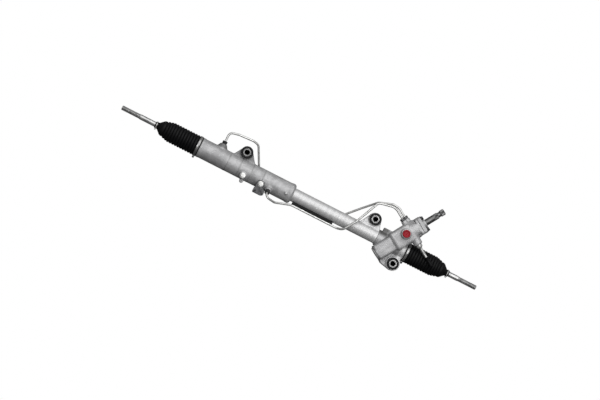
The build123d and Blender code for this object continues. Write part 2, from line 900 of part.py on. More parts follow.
def guide_plug():
    """The adjusting plug with its hexagon socket."""
    body = rod(GUIDE, plug_front, plug_back, guide_radius - seat_gap)
    return body - prism(GUIDE, plug_front + guide_plug_floor, plug_back + 1, guide_plug_socket)


def guide_lock_nut():
    """The ring nut that locks the adjusting plug against the housing."""
    back = guide_boss_reach + guide_nut_height
    ring_nut = prism(GUIDE, guide_boss_reach, back, guide_nut_flats)
    return ring_nut - rod(GUIDE, guide_boss_reach - 1, back + 1, guide_radius + 0.02)


# Seals, stops and the piston
def bore_ring(start, end, outer, inner, lip):
    """A ring in the cylinder's bore, with a groove for its seal lip on one face."""
    side = 1 if lip > 0 else -1
    face = end if side > 0 else start
    back = start if side > 0 else end
    middle = (outer + inner) / 2
    return turned(
        RACK,
        [
            (inner, back),
            (outer, back),
            (outer, face),
            (middle + 1.5, face),
            (middle, face - side * 2.5),
            (middle - 1.5, face),
            (inner, face),
        ],
    )


def piston():
    """The piston fixed on the bar, with the groove of its ring."""
    half, groove = piston_width / 2, piston_ring_width / 2
    outer = chamber_radius - 2 * running_gap
    inner = rack_radius + seat_gap
    return turned(
        RACK,
        [
            (inner, piston_x - half),
            (outer, piston_x - half),
            (outer, piston_x - groove - seat_gap),
            (outer - piston_groove, piston_x - groove - seat_gap),
            (outer - piston_groove, piston_x + groove + seat_gap),
            (outer, piston_x + groove + seat_gap),
            (outer, piston_x + half),
            (inner, piston_x + half),
        ],
    )


def piston_ring():
    """The slippery ring that seals the piston."""
    half = piston_ring_width / 2
    outer = chamber_radius - running_gap
    inner = chamber_radius - 2 * running_gap - piston_groove + seat_gap
    return ring(RACK, piston_x - half, piston_x + half, outer, inner)


def inner_seal():
    """The rack seal at the bulkhead."""
    back = cylinder_right - tube_socket - bulkhead
    return bore_ring(
        back - inner_seal_width, back, chamber_radius - seat_gap, rack_radius + running_gap, -1
    )


def end_bushing():
    """The stop and bearing of the rack in the cylinder's open end."""
    return bore_ring(
        stop_left, stop_left + end_bushing_width, chamber_radius - seat_gap, rack_radius + running_gap, 1
    )


def end_retainer():
    """The wire ring that holds the end bushing."""
    return ring(
        RACK, stop_left - retainer_width, stop_left - 0.02, chamber_radius - seat_gap, chamber_radius - 1.4
    )


# Ball joints and tie rods, built outwards from the ball's centre
def lock_washer(x, sign):
    """The washer between the rack's end and the ball socket, with a claw bent over each of its flats."""
    place = outward(x, sign)
    body = ring(place, -ball_back, -socket_back - 0.02, socket_radius - 1, stud_radius + seat_gap)
    length = washer_thickness + claw_reach
    across = socket_flat + seat_gap + claw_thickness / 2
    for side in (-1, 1):
        claw = Box(claw_thickness, claw_width, length)
        body += place * (Pos(side * across, 0, length / 2 - ball_back) * claw)
    return body


def ball_socket(x, sign):
    """The socket screwed in the rack's end, with its stud, wrench flats and flared mouth."""
    place = outward(x, sign)
    lip = math.sqrt(cavity_radius**2 - socket_lip**2)
    flare = lip + socket_front - socket_lip
    floor = math.sqrt(cavity_radius**2 - cavity_depth**2)
    body = turned(
        place,
        [
            (floor, -cavity_depth),
            (0, -cavity_depth),
            (0, -ball_back - stud_length),
            (stud_radius - seat_gap, -ball_back - stud_length),
            (stud_radius - seat_gap, -socket_back),
            (socket_radius, -socket_back),
            (socket_radius, socket_front - 3),
            (flare + 1, socket_front),
            (flare, socket_front),
            (lip, socket_lip),
        ],
        ball_arc(cavity_radius, socket_lip, -cavity_depth),
    )
    depth = 2 * (socket_radius - socket_flat)
    for side in (-1, 1):
        flat = Box(depth, 2 * socket_radius, socket_flat_length)
        middle = socket_flat_length / 2 - socket_back - 1
        body -= place * (Pos(side * (socket_flat + depth / 2), 0, middle) * flat)
    return body


def ball_seat(x, sign):
    """The moulded liner between the ball and its socket, a zone of a sphere's shell."""
    low, high = -seat_back + 0.5, socket_lip - 0.5
    outer = ball_arc(liner_radius, low, high)
    inner = ball_arc(ball_radius + running_gap, high, low)
    sides = [Line(outer @ 1, inner @ 0), Line(inner @ 1, outer @ 0)]
    place = outward(x, sign)
    sketch = Plane(origin=place.origin, x_dir=place.x_dir, z_dir=-place.y_dir)
    section = make_face([outer, sides[0], inner, sides[1]])
    return revolve(sketch * section, axis=Axis(place.origin, place.z_dir))


def tie_rod(x, sign, length):
    """The rod with its ball, its neck, the groove of the boot's small end and the end for the thread."""
    neck = math.sqrt(ball_radius**2 - rod_neck_radius**2)
    return turned(
        outward(x, sign),
        [
            (rod_neck_radius, neck),
            (rod_neck_radius, neck_end),
            (rod_radius, neck_end + neck_flare),
            (rod_radius, cuff_start),
            (rod_radius - 0.5, cuff_start + 0.5),
            (rod_radius - 0.5, boot_past_ball - 0.5),
            (rod_radius, boot_past_ball),
            (rod_radius, length - thread_length),
            (thread_radius, length - thread_length + 1),
            (thread_radius, length - 1.5),
            (thread_radius - 1.5, length),
            (0, length),
            (0, -ball_flat),
            (ball_flat_radius, -ball_flat),
        ],
        ball_arc(ball_radius, -ball_flat, neck),
    )


# Boots and their clamps
def crest(place):
    """The radius of the boot's folds at this place outside the ball's centre: straight, then tapering."""
    along = max(0, place - taper_start) / (taper_end - taper_start)
    return boot_radius + (taper_radius - boot_radius) * along


def boot(ball, sign, seat):
    """A bellows from its cuff on the housing, over its folds, to its cuff on the tie rod."""
    base = (seat - ball) * sign
    folds_start = base + boot_seat_length
    inner_seat = boot_seat_radius + soft_gap
    inner_cuff = rod_radius + soft_gap
    outside = [(inner_seat, base), (boot_radius, base), (boot_radius, folds_start - 1)]
    inside = [(inner_seat, folds_start + 1)]
    for fold in range(boot_folds):
        low = folds_start + fold * fold_pitch
        valley = crest(low) - fold_depth
        outside.append((valley, low))
        outside += [(crest(low + share * fold_pitch), low + share * fold_pitch) for share in (0.35, 0.65)]
        if fold:
            inside.append((valley - boot_wall, low))
        inside.append((crest(low + fold_pitch / 2) - boot_wall, low + fold_pitch / 2))
    folds_end = folds_start + boot_folds * fold_pitch
    valley = crest(folds_end) - fold_depth
    outside += [(valley, folds_end), (taper_radius, taper_end), (cuff_radius, cuff_start)]
    outside += [(cuff_radius, boot_past_ball), (inner_cuff, boot_past_ball), (inner_cuff, cuff_start)]
    inside += [(valley - boot_wall, folds_end), (taper_radius - boot_wall, taper_end - 1)]
    return turned(outward(ball, sign), [*outside, *reversed(inside)])


def boot_band(ball, sign, seat):
    """The steel band round the boot's large end, with the crimped ear of its buckle."""
    base = (seat - ball) * sign + 2.0
    inner = boot_radius + soft_gap / 3
    place = outward(ball, sign)
    band = ring(place, base, base + band_clamp_width, inner + band_clamp_wall, inner)
    buckle = Pos(-inner - 2.6, 0, base + band_clamp_width / 2) * Box(5, 9, band_clamp_width - 1)
    return band + place * buckle - rod(place, base - 1, base + band_clamp_width + 1, inner)


def boot_clip(ball, sign):
    """The spring clip on the boot's small end, a ring of wire with two tails."""
    middle = boot_past_ball - cuff_length / 2
    place = outward(ball, sign)
    inner = cuff_radius + 0.1
    clip = ring(place, middle - cuff_ring_width / 2, middle + cuff_ring_width / 2, inner + 1.2, inner)
    for side in (-1, 1):
        tail = Box(4, 1.2, cuff_ring_width - 1)
        clip += place * (Pos(-inner - 2.6, side * 1.6, middle) * tail)
    return clip


# Bushings
def bushing_rubber(x, z):
    """The rubber of a mounting bushing, with its two face flanges."""
    half = bushing_half_length - 1.0
    gap = eye_half_length + soft_gap
    outline = [
        (sleeve_radius + seat_gap, -half),
        (rubber_radius, -half),
        (rubber_radius, -gap),
        (shell_radius - shell_wall, -gap),
        (shell_radius - shell_wall, gap),
        (rubber_radius, gap),
        (rubber_radius, half),
        (sleeve_radius + seat_gap, half),
    ]
    return turned(across_y(x, z), outline)


def bushing_shell(x, z):
    """The thin steel shell round the rubber, pressed in the eye."""
    inner = shell_radius - shell_wall + seat_gap
    return ring(across_y(x, z), -eye_half_length, eye_half_length, shell_radius, inner)


def bushing_sleeve(x, z):
    """The inner steel sleeve that the mounting bolt passes through."""
    half = bushing_half_length
    outer, bore = sleeve_radius, bolt_hole_radius
    outline = [
        (bore, -half),
        (outer - 1, -half),
        (outer, -half + 1),
        (outer, half - 1),
        (outer - 1, half),
        (bore, half),
    ]
    return turned(across_y(x, z), outline)


# Pipes
def pipe(points, bends):
    """A bent pipe through the given corners, each with its own bend radius."""
    path = FilletPolyline(*points, radius=bends)
    section = Plane(origin=path @ 0, z_dir=path % 0) * Circle(pipe_radius - 0.02)
    return sweep(section, path=path)


def union_nut(port):
    """A flare nut: its hexagon on the port's face and its thread in the seat."""
    nut = prism(port, soft_gap, union_height, union_flats)
    nut += rod(port, -union_thread_depth + 2, 1, union_thread_radius)
    return nut - rod(port, -union_thread_depth, union_height + 1, pipe_radius)


def on_port(port, reach):
    """A point on a port's axis, this far outside its face."""
    return tuple(port.from_local_coords((0, 0, reach)))


def outer_chamber_pipe():
    """The pipe from the rear port of the tower, behind the tube, to the far end of the cylinder."""
    start, end = REAR_PORT.offset(port_face), left_port()
    first = [on_port(start, -port_dip), on_port(start, outer_pipe_reach)]
    return pipe([*first, *outer_pipe_corners, on_port(end, -port_dip)], outer_pipe_bends)


def inner_chamber_pipe():
    """The pipe from the front port of the tower, across the tube, to the near end of the cylinder."""
    start, end = FRONT_PORT.offset(port_face), right_port()
    first = [on_port(start, -port_dip), on_port(start, inner_pipe_reach)]
    last = [on_port(end, inner_pipe_end), on_port(end, -port_dip)]
    return pipe([*first, *inner_pipe_corners, *last], inner_pipe_bends)


def pipe_strip():
    """The rubber strip between the tube and the pipe that runs below it."""
    drop = math.hypot(inner_pipe_y, below_tube)
    towards = (0, inner_pipe_y / drop, below_tube / drop)
    middle, length = (strip_left + strip_right) / 2, strip_right - strip_left
    plane = Plane(origin=(middle, 0, 0), x_dir=(1, 0, 0), z_dir=towards)
    size = (length, 2 * strip_half_width, drop - pipe_radius - soft_gap)
    block = plane * Box(*size, align=(Align.CENTER, Align.CENTER, Align.MIN))
    return block - rod(RACK, strip_left - 1, strip_right + 1, tube_radius + band_height + soft_gap)


def return_pipe():
    """The return stub with the collar that seats in the tower's side."""
    collar = return_reach - return_collar_length + seat_gap
    tip = return_reach + return_stub_length
    return turned(
        RETURN_PORT,
        [
            (0, collar - 16),
            (union_thread_radius, collar - 16),
            (union_thread_radius, collar),
            (return_collar_radius, collar),
            (return_collar_radius, return_reach),
            (return_stub_radius, return_reach + 3),
            (return_stub_radius, tip),
            (0, tip),
        ],
    )


def return_cap():
    """The rubber cap pushed over the return stub for storage."""
    start = return_reach + return_cap_start
    inside = return_reach + return_stub_length + seat_gap
    bore = return_stub_radius + seat_gap
    lip = return_cap_radius + 0.8
    outline = [
        (bore, start),
        (lip, start),
        (lip, start + 3),
        (return_cap_radius, start + 4),
        (return_cap_radius, inside + 2),
        (return_cap_radius - 1.5, inside + 3.5),
        (0, inside + 3.5),
        (0, inside),
        (bore, inside),
    ]
    return turned(RETURN_PORT, outline)


def pressure_plug():
    """The moulded plug that closes the pressure port for storage."""
    stem = pressure_hole_radius - seat_gap
    outline = [
        (0, 6 - pressure_boss_depth),
        (stem, 6 - pressure_boss_depth),
        (stem, seat_gap),
        (plug_radius, seat_gap),
        (plug_radius, 5),
        (plug_radius - 1.2, 6.5),
        (plug_radius - 4, 6.5),
        (plug_radius - 5, 4.5),
        (0, 4.5),
    ]
    return turned(PRESSURE_PORT, outline)


# Pads on the cylinder
def pad_bolts():
    """The flange bolts in the two pads; the second clamps the bracket."""
    bolts = []
    for number, (x, z) in enumerate(pad_places):
        place = Plane(origin=(x, -pad_face, z), x_dir=(1, 0, 0), z_dir=(0, -1, 0))
        seat = seat_gap + number * (bracket_thickness + seat_gap)
        bolt = rod(place, -8, seat + 1, pad_bolt_radius)
        bolt += rod(place, seat, seat + washer_height, pad_bolt_head)
        bolt += prism(place, seat + washer_height, seat + pad_bolt_height, pad_bolt_flats)
        bolts.append(bolt)
    return bolts


def support_bracket():
    """The sheet bracket under the second pad bolt, flaring to a turned edge."""
    x, z = pad_places[1]
    place = Plane(origin=(x, -pad_face - seat_gap, z), x_dir=(1, 0, 0), z_dir=(0, -1, 0))
    eye = make_face(CenterArc((0, 0), bracket_eye, 0, 360))
    left, right = -1 - bracket_foot_width / 2, bracket_foot_width / 2 - 1
    waist, low = bracket_waist, -bracket_waist_drop
    side = [(-waist - 1, 0), (-waist, low), (left, -bracket_drop)]
    side += [(right, -bracket_drop), (waist, low), (waist + 1, 0)]
    sheet = extrude(place * (eye + make_face(Polyline(*side, close=True))), bracket_thickness)
    lip = Box(bracket_foot_width, bracket_lip, bracket_thickness)
    lip = Pos(x - 1, -pad_face - seat_gap - bracket_lip / 2, z - bracket_drop - bracket_thickness / 2) * lip
    return sheet + lip - rod(place, -1, bracket_thickness + 1, pad_bolt_radius + seat_gap)


save("cylinder_housing", cylinder_housing())
save("centre_tube", centre_tube())
save("gear_housing", gear_housing())
save("valve_cover", valve_cover())
save("cover_bolts", *cover_bolts())
save("rack_bar", rack_bar())
save("pinion_shaft", pinion_shaft())
save("valve_sleeve", valve_sleeve())
save("input_shaft", input_shaft())
save("torsion_bar", torsion_bar())
save("torsion_pin", torsion_pin())
save("lower_bearing", bearing(nut_start, lower_journal_radius + 0.02, bearing_radius))
save("pinion_bush", shaft_ring(bush_start, bush_length, bush_radius, pinion_neck_radius))
save("pinion_seal", shaft_ring(pinion_seal_start, oil_seal_length, bush_radius, pinion_neck_radius))
save("upper_bearing", bearing(cover_bearing_z, shaft_radius + 0.02, upper_bearing_radius))
save("input_seal", shaft_ring(input_seal_start, oil_seal_length, seal_radius, shaft_radius))
save("pinion_nut", pinion_nut())
save("bottom_cap", bottom_cap())
save("rack_guide", rack_guide())
save("guide_spring", guide_spring())
save("guide_plug", guide_plug())
save("guide_lock_nut", guide_lock_nut())
save("piston", piston())
save("piston_ring", piston_ring())
save("inner_seal", inner_seal())
save("end_bushing", end_bushing())
save("end_retainer", end_retainer())
for side, ball, sign, seat, length in (
    ("left", ball_left, -1, cylinder_left, left_rod_length),
    ("right", ball_right, 1, boot_seat_right, right_rod_length),
):
    save(f"{side}_lock_washer", lock_washer(ball, sign))
    save(f"{side}_ball_socket", ball_socket(ball, sign))
    save(f"{side}_ball_seat", ball_seat(ball, sign))
    save(f"{side}_tie_rod", tie_rod(ball, sign, length))
    save(f"{side}_boot", boot(ball, sign, seat))
    save(f"{side}_boot_band", boot_band(ball, sign, seat))
    save(f"{side}_boot_clip", boot_clip(ball, sign))
for side, place in (("left", left_bushing), ("upper", upper_bushing), ("lower", lower_bushing)):
    save(f"{side}_bushing_rubber", bushing_rubber(*place))
    save(f"{side}_bushing_sleeve", bushing_sleeve(*place))
save("bushing_shells", *[bushing_shell(*place) for place in (left_bushing, upper_bushing, lower_bushing)])
save("outer_chamber_pipe", outer_chamber_pipe())
save("inner_chamber_pipe", inner_chamber_pipe())
ports = (REAR_PORT.offset(port_face), FRONT_PORT.offset(port_face), left_port(), right_port())
save("pipe_unions", *[union_nut(port) for port in ports])
save("pipe_strip", pipe_strip())
save("return_pipe", return_pipe())
save("return_cap", return_cap())
save("pressure_plug", pressure_plug())
save("pad_bolts", *pad_bolts())
save("support_bracket", support_bracket())
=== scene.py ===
"""Visual model of a hydraulic rack and pinion steering gear.

Lengths in the tables below are millimetres about the rack axis, with X along the rack, Y along the
mounting bolts and Z up. place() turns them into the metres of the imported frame.
"""
import json
import math

import bmesh
import bpy
import numpy as np
from mathutils import Matrix, Vector


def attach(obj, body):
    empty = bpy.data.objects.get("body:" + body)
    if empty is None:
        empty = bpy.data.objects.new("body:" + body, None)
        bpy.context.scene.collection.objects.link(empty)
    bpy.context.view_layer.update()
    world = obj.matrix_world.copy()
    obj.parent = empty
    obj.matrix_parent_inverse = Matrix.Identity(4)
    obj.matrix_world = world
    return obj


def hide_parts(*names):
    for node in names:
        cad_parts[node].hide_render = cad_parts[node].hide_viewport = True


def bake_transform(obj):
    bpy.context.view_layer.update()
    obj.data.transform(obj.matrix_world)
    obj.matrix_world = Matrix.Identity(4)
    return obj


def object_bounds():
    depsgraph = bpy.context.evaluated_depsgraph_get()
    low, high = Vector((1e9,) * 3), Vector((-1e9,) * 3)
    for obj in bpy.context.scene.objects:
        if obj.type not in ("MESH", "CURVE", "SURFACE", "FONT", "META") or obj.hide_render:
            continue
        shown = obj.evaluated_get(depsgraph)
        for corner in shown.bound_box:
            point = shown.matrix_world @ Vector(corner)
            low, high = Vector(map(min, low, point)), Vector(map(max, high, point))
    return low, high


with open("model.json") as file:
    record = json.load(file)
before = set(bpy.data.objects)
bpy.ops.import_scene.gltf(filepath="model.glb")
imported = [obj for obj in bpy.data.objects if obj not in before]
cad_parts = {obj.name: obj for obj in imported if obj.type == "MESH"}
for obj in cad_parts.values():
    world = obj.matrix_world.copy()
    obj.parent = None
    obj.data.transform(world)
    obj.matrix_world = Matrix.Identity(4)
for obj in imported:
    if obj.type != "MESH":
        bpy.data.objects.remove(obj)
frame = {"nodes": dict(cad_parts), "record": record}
cad_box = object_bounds()

# The frame's origin, seen from the middle of the rack's axis
SHIFT = np.array((218.0, 0.0, 43.5))
# The pinion's lean from the vertical
TILT = math.radians(32.0)
# Each ball joint's centre along the rack, and its way out
SIDES = {"left": (-406.0, -1), "right": (423.0, 1)}
# From the ball's centre to the rod's end
ROD_LENGTH = {"left": 158.0, "right": 141.0}
# The middle of each mounting bore: X and Z
BUSHINGS = {"left": (-192.0, 46.9), "upper": (218.0, 43.5), "lower": (319.0, -46.6)}


def place(points):
    """Millimetres about the rack axis, as metres in the frame."""
    return (np.asarray(points, float) - SHIFT) * 0.001


def unit(vector):
    vector = np.asarray(vector, float)
    return vector / np.linalg.norm(vector)


class Axis:
    """A straight axis; a point about it is a radius, an angle and a place along it."""

    def __init__(self, origin, along, across):
        self.origin = np.asarray(origin, float)
        self.along = unit(along)
        self.across = unit(across)
        self.third = np.cross(self.along, self.across)

    def at(self, radius, angle, along):
        """origin + radius (across cos angle + third sin angle) + along times the axis, as whole arrays."""
        radius, angle, along = np.broadcast_arrays(radius, angle, along)
        round_it = np.cos(angle)[..., None] * self.across + np.sin(angle)[..., None] * self.third
        return self.origin + radius[..., None] * round_it + along[..., None] * self.along

    def moved(self, across, third):
        origin = self.origin + across * self.across + third * self.third
        return Axis(origin, self.along, self.across)


# The pinion's direction, and the one across it in the plane of X and Z
W = (math.sin(TILT), 0, math.cos(TILT))
H = (math.cos(TILT), 0, -math.sin(TILT))
PINION = Axis((288.0, -18.513, 0), W, H)
GUIDE = Axis((288.0, 0, 0), (0, 1, 0), (1, 0, 0))


def outward(side):
    """The axis of one ball joint, pointing out of the rack."""
    ball, sign = SIDES[side]
    return Axis((ball, 0, 0), (sign, 0, 0), (0, 0, 1))


# ---- finishes
class Signal:
    """A value that varies over a surface; arithmetic on it adds Math nodes."""

    def __init__(self, finish, socket):
        self.finish = finish
        self.socket = socket

    def _math(self, operation, first, second):
        return self.finish.node("ShaderNodeMath", {"operation": operation}, {0: first, 1: second})

    def __add__(self, other):
        return self._math("ADD", self, other)

    def __sub__(self, other):
        return self._math("SUBTRACT", self, other)

    def __rsub__(self, other):
        return self._math("SUBTRACT", other, self)

    def __mul__(self, other):
        return self._math("MULTIPLY", self, other)

    def __pow__(self, other):
        return self._math("POWER", self, other)

    __radd__ = __add__
    __rmul__ = __mul__


class Finish:
    """A material in the making, on the piece's own Object coordinates."""

    def __init__(self, name):
        self.material = bpy.data.materials.new(name)
        self.material.use_nodes = True
        self.tree = self.material.node_tree
        self.shader = self.tree.nodes["Principled BSDF"]
        self.here = self.node("ShaderNodeTexCoord", output="Object")

    def node(self, kind, settings=None, inputs=None, output=0):
        """A node of that kind: its settings first, then its inputs, each a number, a colour or a Signal."""
        made = self.tree.nodes.new(kind)
        for key, value in (settings or {}).items():
            setattr(made, key, value)
        for key, value in (inputs or {}).items():
            self.feed(made.inputs[key], value)
        return Signal(self, made.outputs[output])

    def feed(self, socket, value):
        if isinstance(value, Signal):
            self.tree.links.new(value.socket, socket)
        elif isinstance(value, tuple) and len(value) == 3 and socket.type == "RGBA":
            socket.default_value = (*value, 1.0)
        else:
            socket.default_value = value

    def stretched(self, scale):
        """The Object coordinates scaled along each axis."""
        return self.node("ShaderNodeMapping", {"vector_type": "POINT"}, {"Vector": self.here, "Scale": scale})

    def noise(self, scale, detail=3.0, rough=0.5, where=None):
        inputs = {"Vector": where or self.here, "Scale": scale, "Detail": detail, "Roughness": rough}
        return self.node("ShaderNodeTexNoise", {}, inputs)

    def step(self, value, low, high):
        """0 at low, 1 at high, smooth between and level beyond; low may be the greater of the two."""
        inputs = {"Value": value, "From Min": low, "From Max": high}
        return self.node("ShaderNodeMapRange", {"interpolation_type": "SMOOTHSTEP"}, inputs)

    def mix(self, factor, first, second):
        """One colour over another by a factor."""
        return self.node("ShaderNodeMix", {"data_type": "RGBA"}, {0: factor, 6: first, 7: second}, output=2)

    def bump(self, height, depth, strength):
        """The normal over a height whose full range is depth, in metres."""
        return self.node("ShaderNodeBump", {}, {"Height": height, "Distance": depth, "Strength": strength})

    def set(self, **sockets):
        """Feeds the shader's own sockets; base_color stands for Base Color and so on."""
        for key, value in sockets.items():
            name = " ".join(word.capitalize() for word in key.split("_"))
            self.feed(self.shader.inputs[name.replace("Ior", "IOR")], value)
        return self

    @property
    def axes(self):
        """The three Object coordinates, each as a Signal."""
        return [self.node("ShaderNodeSeparateXYZ", {}, {0: self.here}, output=i) for i in range(3)]


# The cylinder's rings: their distance in metres, and the phase that puts one at X = -229 mm
RING_STEP = 0.0365
RING_PHASE = math.pi / 2 + (229.0 + 218.0) / 36.5 * math.pi
# The dark tone of the rings, and of the painted shade on the cylinder's top
DIRT_AND_SHADE = (0.10, 0.10, 0.10)


def cylinder_marks(f, tone, height, mottle, patches):
    """Faint rings, sin(pi x / RING_STEP + RING_PHASE)^80, and painted shade on what stands on the cylinder's
    top.
    """
    x, _, z = f.axes
    angle = f.node("ShaderNodeMath", {"operation": "SINE"}, {0: x * (math.pi / RING_STEP) + RING_PHASE})
    ringed = (angle * angle) ** 40.0 * f.step(x, -0.462, -0.456) * f.step(x, -0.322, -0.328)
    tone = f.mix(ringed * 0.35, tone, DIRT_AND_SHADE)
    # Painted shade: the casting above the cylinder's top is darkened
    tone = f.mix(f.step(z, -0.0175, -0.0135) * 0.62, tone, DIRT_AND_SHADE)
    return tone, height - ringed * 0.9


def gear_marks(f, tone, height, mottle, patches):
    """Painted shade in the recess between the collar and the tube, and a bright turned neck under the boot
    whose lower part is also a painted highlight.
    """
    x, _, z = f.axes
    # Painted shade: the housing's front beside the collar is darkened
    beside = f.step(x + 0.006 * (mottle - 0.5), 0.058, 0.046)
    painted_recess_shade = beside * f.step(z + 0.008 * (patches - 0.5), -0.040, -0.026)
    tone = f.mix(painted_recess_shade * 0.85, tone, (0.085, 0.084, 0.082))
    # The turned neck under the boot, painted bright on its lower part as a painted highlight
    turned = f.step(x, 0.100, 0.104) * f.step(z, -0.026, -0.034)
    return f.mix(turned, tone, (0.74, 0.74, 0.74)), height


def cast_aluminium(name, marks=None):
    """Sand-cast aluminium: grain, a soft mottle, small dark pits, edges rubbed brighter, painted shade in the
    hollows, then its marks.
    """
    f = Finish(name)
    grain = f.noise(900.0, 4.0, 0.65)
    mottle = f.noise(55.0, 4.0, 0.6)
    patches = f.noise(14.0, 2.0, 0.5)
    pits = f.step(f.noise(430.0, 1.0, 0.4), 0.30, 0.24)
    bend = f.node("ShaderNodeNewGeometry", output="Pointiness")
    edges = f.step(bend, 0.50, 0.56)
    # Painted shade: hollows, where the pointiness is low, are darkened
    hollow_shade = f.step(bend, 0.49, 0.44)
    blotches = f.step(mottle + 0.35 * (patches - 0.5), 0.35, 0.65)
    tone = f.mix(blotches, (0.40, 0.40, 0.405), (0.52, 0.52, 0.525))
    tone = f.mix(edges * 0.45, tone, (0.58, 0.58, 0.58))
    tone = f.mix(pits * 0.55 + hollow_shade * 0.45, tone, (0.12, 0.118, 0.115))
    height = grain * 0.6 + mottle * 0.9 - pits * 0.8
    if marks:
        tone, height = marks(f, tone, height, mottle, patches)
    rough = 0.54 + 0.16 * grain + 0.10 * pits - 0.12 * edges
    return f.set(base_color=tone, roughness=rough, metallic=0.6, normal=f.bump(height, 0.0004, 0.55))


def machined_aluminium():
    """Turned aluminium: fine rings along the rack, light scratches, a satin sheen."""
    f = Finish("machined_aluminium")
    rings = f.noise(1.0, 3.0, 0.7, where=f.stretched((2600.0, 14.0, 14.0)))
    broad = f.noise(1.0, 2.0, 0.5, where=f.stretched((160.0, 3.0, 3.0)))
    smears = f.noise(30.0, 4.0, 0.6)
    tone = f.mix(f.step(0.5 * rings + 0.5 * broad, 0.35, 0.65), (0.56, 0.56, 0.565), (0.70, 0.70, 0.70))
    tone = f.mix(f.step(smears, 0.58, 0.75) * 0.35, tone, (0.56, 0.56, 0.56))
    rough = 0.44 + 0.12 * smears + 0.10 * rings
    normal = f.bump(rings + 0.5 * broad, 0.00012, 0.5)
    return f.set(base_color=tone, roughness=rough, metallic=0.5, normal=normal)


def plated(name, dark, light, rough, metal):
    """Plated or bare metal: a cloudy coat over a fine grain, with duller spots."""
    f = Finish(name)
    cloud = f.noise(70.0, 4.0, 0.6)
    fine = f.noise(1500.0, 3.0, 0.6)
    spots = f.step(f.noise(260.0, 2.0, 0.5), 0.62, 0.72)
    tone = f.mix(f.step(cloud, 0.35, 0.65), dark, light)
    tone = f.mix(spots * 0.4, tone, tuple(0.6 * c for c in dark))
    roughness = rough + 0.14 * cloud + 0.10 * spots
    normal = f.bump(fine + cloud * 0.5, 0.00008, 0.5)
    return f.set(base_color=tone, roughness=roughness, metallic=metal, normal=normal)


def rubber(name, tone, bloom):
    """Moulded black rubber: a fine skin, a pale bloom in patches and a soft sheen."""
    f = Finish(name)
    skin = f.noise(1100.0, 3.0, 0.6)
    patches = f.noise(45.0, 4.0, 0.65)
    dust = f.step(patches, 0.5, 0.75)
    colour = f.mix(dust * 0.35, tone, bloom)
    rough = 0.46 + 0.14 * patches + 0.08 * skin
    normal = f.bump(skin + patches, 0.00012, 0.6)
    return f.set(base_color=colour, roughness=rough, normal=normal, specular_ior_level=0.16)


def red_plastic():
    """Soft satin moulded plastic, faintly uneven."""
    f = Finish("red_plastic")
    flow = f.noise(120.0, 3.0, 0.5)
    colour = f.mix(flow, (0.25, 0.003, 0.010), (0.38, 0.006, 0.018))
    normal = f.bump(flow, 0.0001, 0.4)
    return f.set(base_color=colour, roughness=0.48 + 0.12 * flow, normal=normal, specular_ior_level=0.3)


def polymer():
    """Natural bearing plastic."""
    f = Finish("bearing_polymer")
    flow = f.noise(200.0, 3.0, 0.5)
    colour = f.mix(flow, (0.66, 0.64, 0.58), (0.78, 0.76, 0.70))
    return f.set(base_color=colour, roughness=0.38 + 0.12 * flow, normal=f.bump(flow, 0.0001, 0.4))


# Finish, its darker and its lighter tone, roughness, metallic
METALS = (
    ("zinc_plate", (0.52, 0.52, 0.51), (0.68, 0.68, 0.67), 0.34, 0.7),
    ("dark_steel", (0.035, 0.035, 0.038), (0.09, 0.09, 0.092), 0.34, 0.7),
    ("ground_steel", (0.46, 0.46, 0.47), (0.60, 0.60, 0.60), 0.18, 0.9),
    ("forged_steel", (0.36, 0.36, 0.36), (0.52, 0.52, 0.515), 0.30, 0.8),
    ("splined_steel", (0.10, 0.10, 0.10), (0.19, 0.19, 0.19), 0.30, 0.85),
    ("band_steel", (0.20, 0.20, 0.20), (0.36, 0.36, 0.355), 0.26, 0.8),
    ("bronze", (0.42, 0.28, 0.13), (0.58, 0.42, 0.22), 0.26, 0.85),
)
# Finish, its skin's tone and its bloom's
RUBBERS = (
    ("boot_rubber", (0.003, 0.003, 0.0035), (0.012, 0.012, 0.012)),
    ("bushing_rubber", (0.020, 0.020, 0.021), (0.08, 0.08, 0.08)),
    ("seal_rubber", (0.030, 0.030, 0.030), (0.012, 0.012, 0.012)),
)
CASTS = (("cast_aluminium", None), ("gear_casting_with_painted_light", gear_marks), ("cylinder_casting", cylinder_marks))

FINISHES = {row[0]: cast_aluminium(*row) for row in CASTS}
FINISHES |= {row[0]: plated(*row) for row in METALS}
FINISHES |= {row[0]: rubber(*row) for row in RUBBERS}
FINISHES |= {
    "machined_aluminium": machined_aluminium(),
    "bearing_polymer": polymer(),
    "red_plastic": red_plastic(),
}
NODE_SLOT = {part["node"]: part["material_slot"] for part in frame["record"]["subparts"]}


# ---- meshes
LONGEST_STEP = 12


def finished(piece, slot, body, *nodes, sharp=32.0, finish=None):
    """Gives a piece its finish, its shading and its body, and hides the nodes that it stands for."""
    piece.data.materials.clear()
    piece.data.materials.append(FINISHES[finish or slot].material)
    piece.data.shade_smooth()
    piece.data.set_sharp_from_angle(angle=math.radians(sharp))
    if body:
        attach(piece, body)
    if nodes:
        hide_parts(*nodes)
    return piece


def piece_from(name, mesh):
    piece = bpy.data.objects.new(name, mesh)
    bpy.context.scene.collection.objects.link(piece)
    return piece


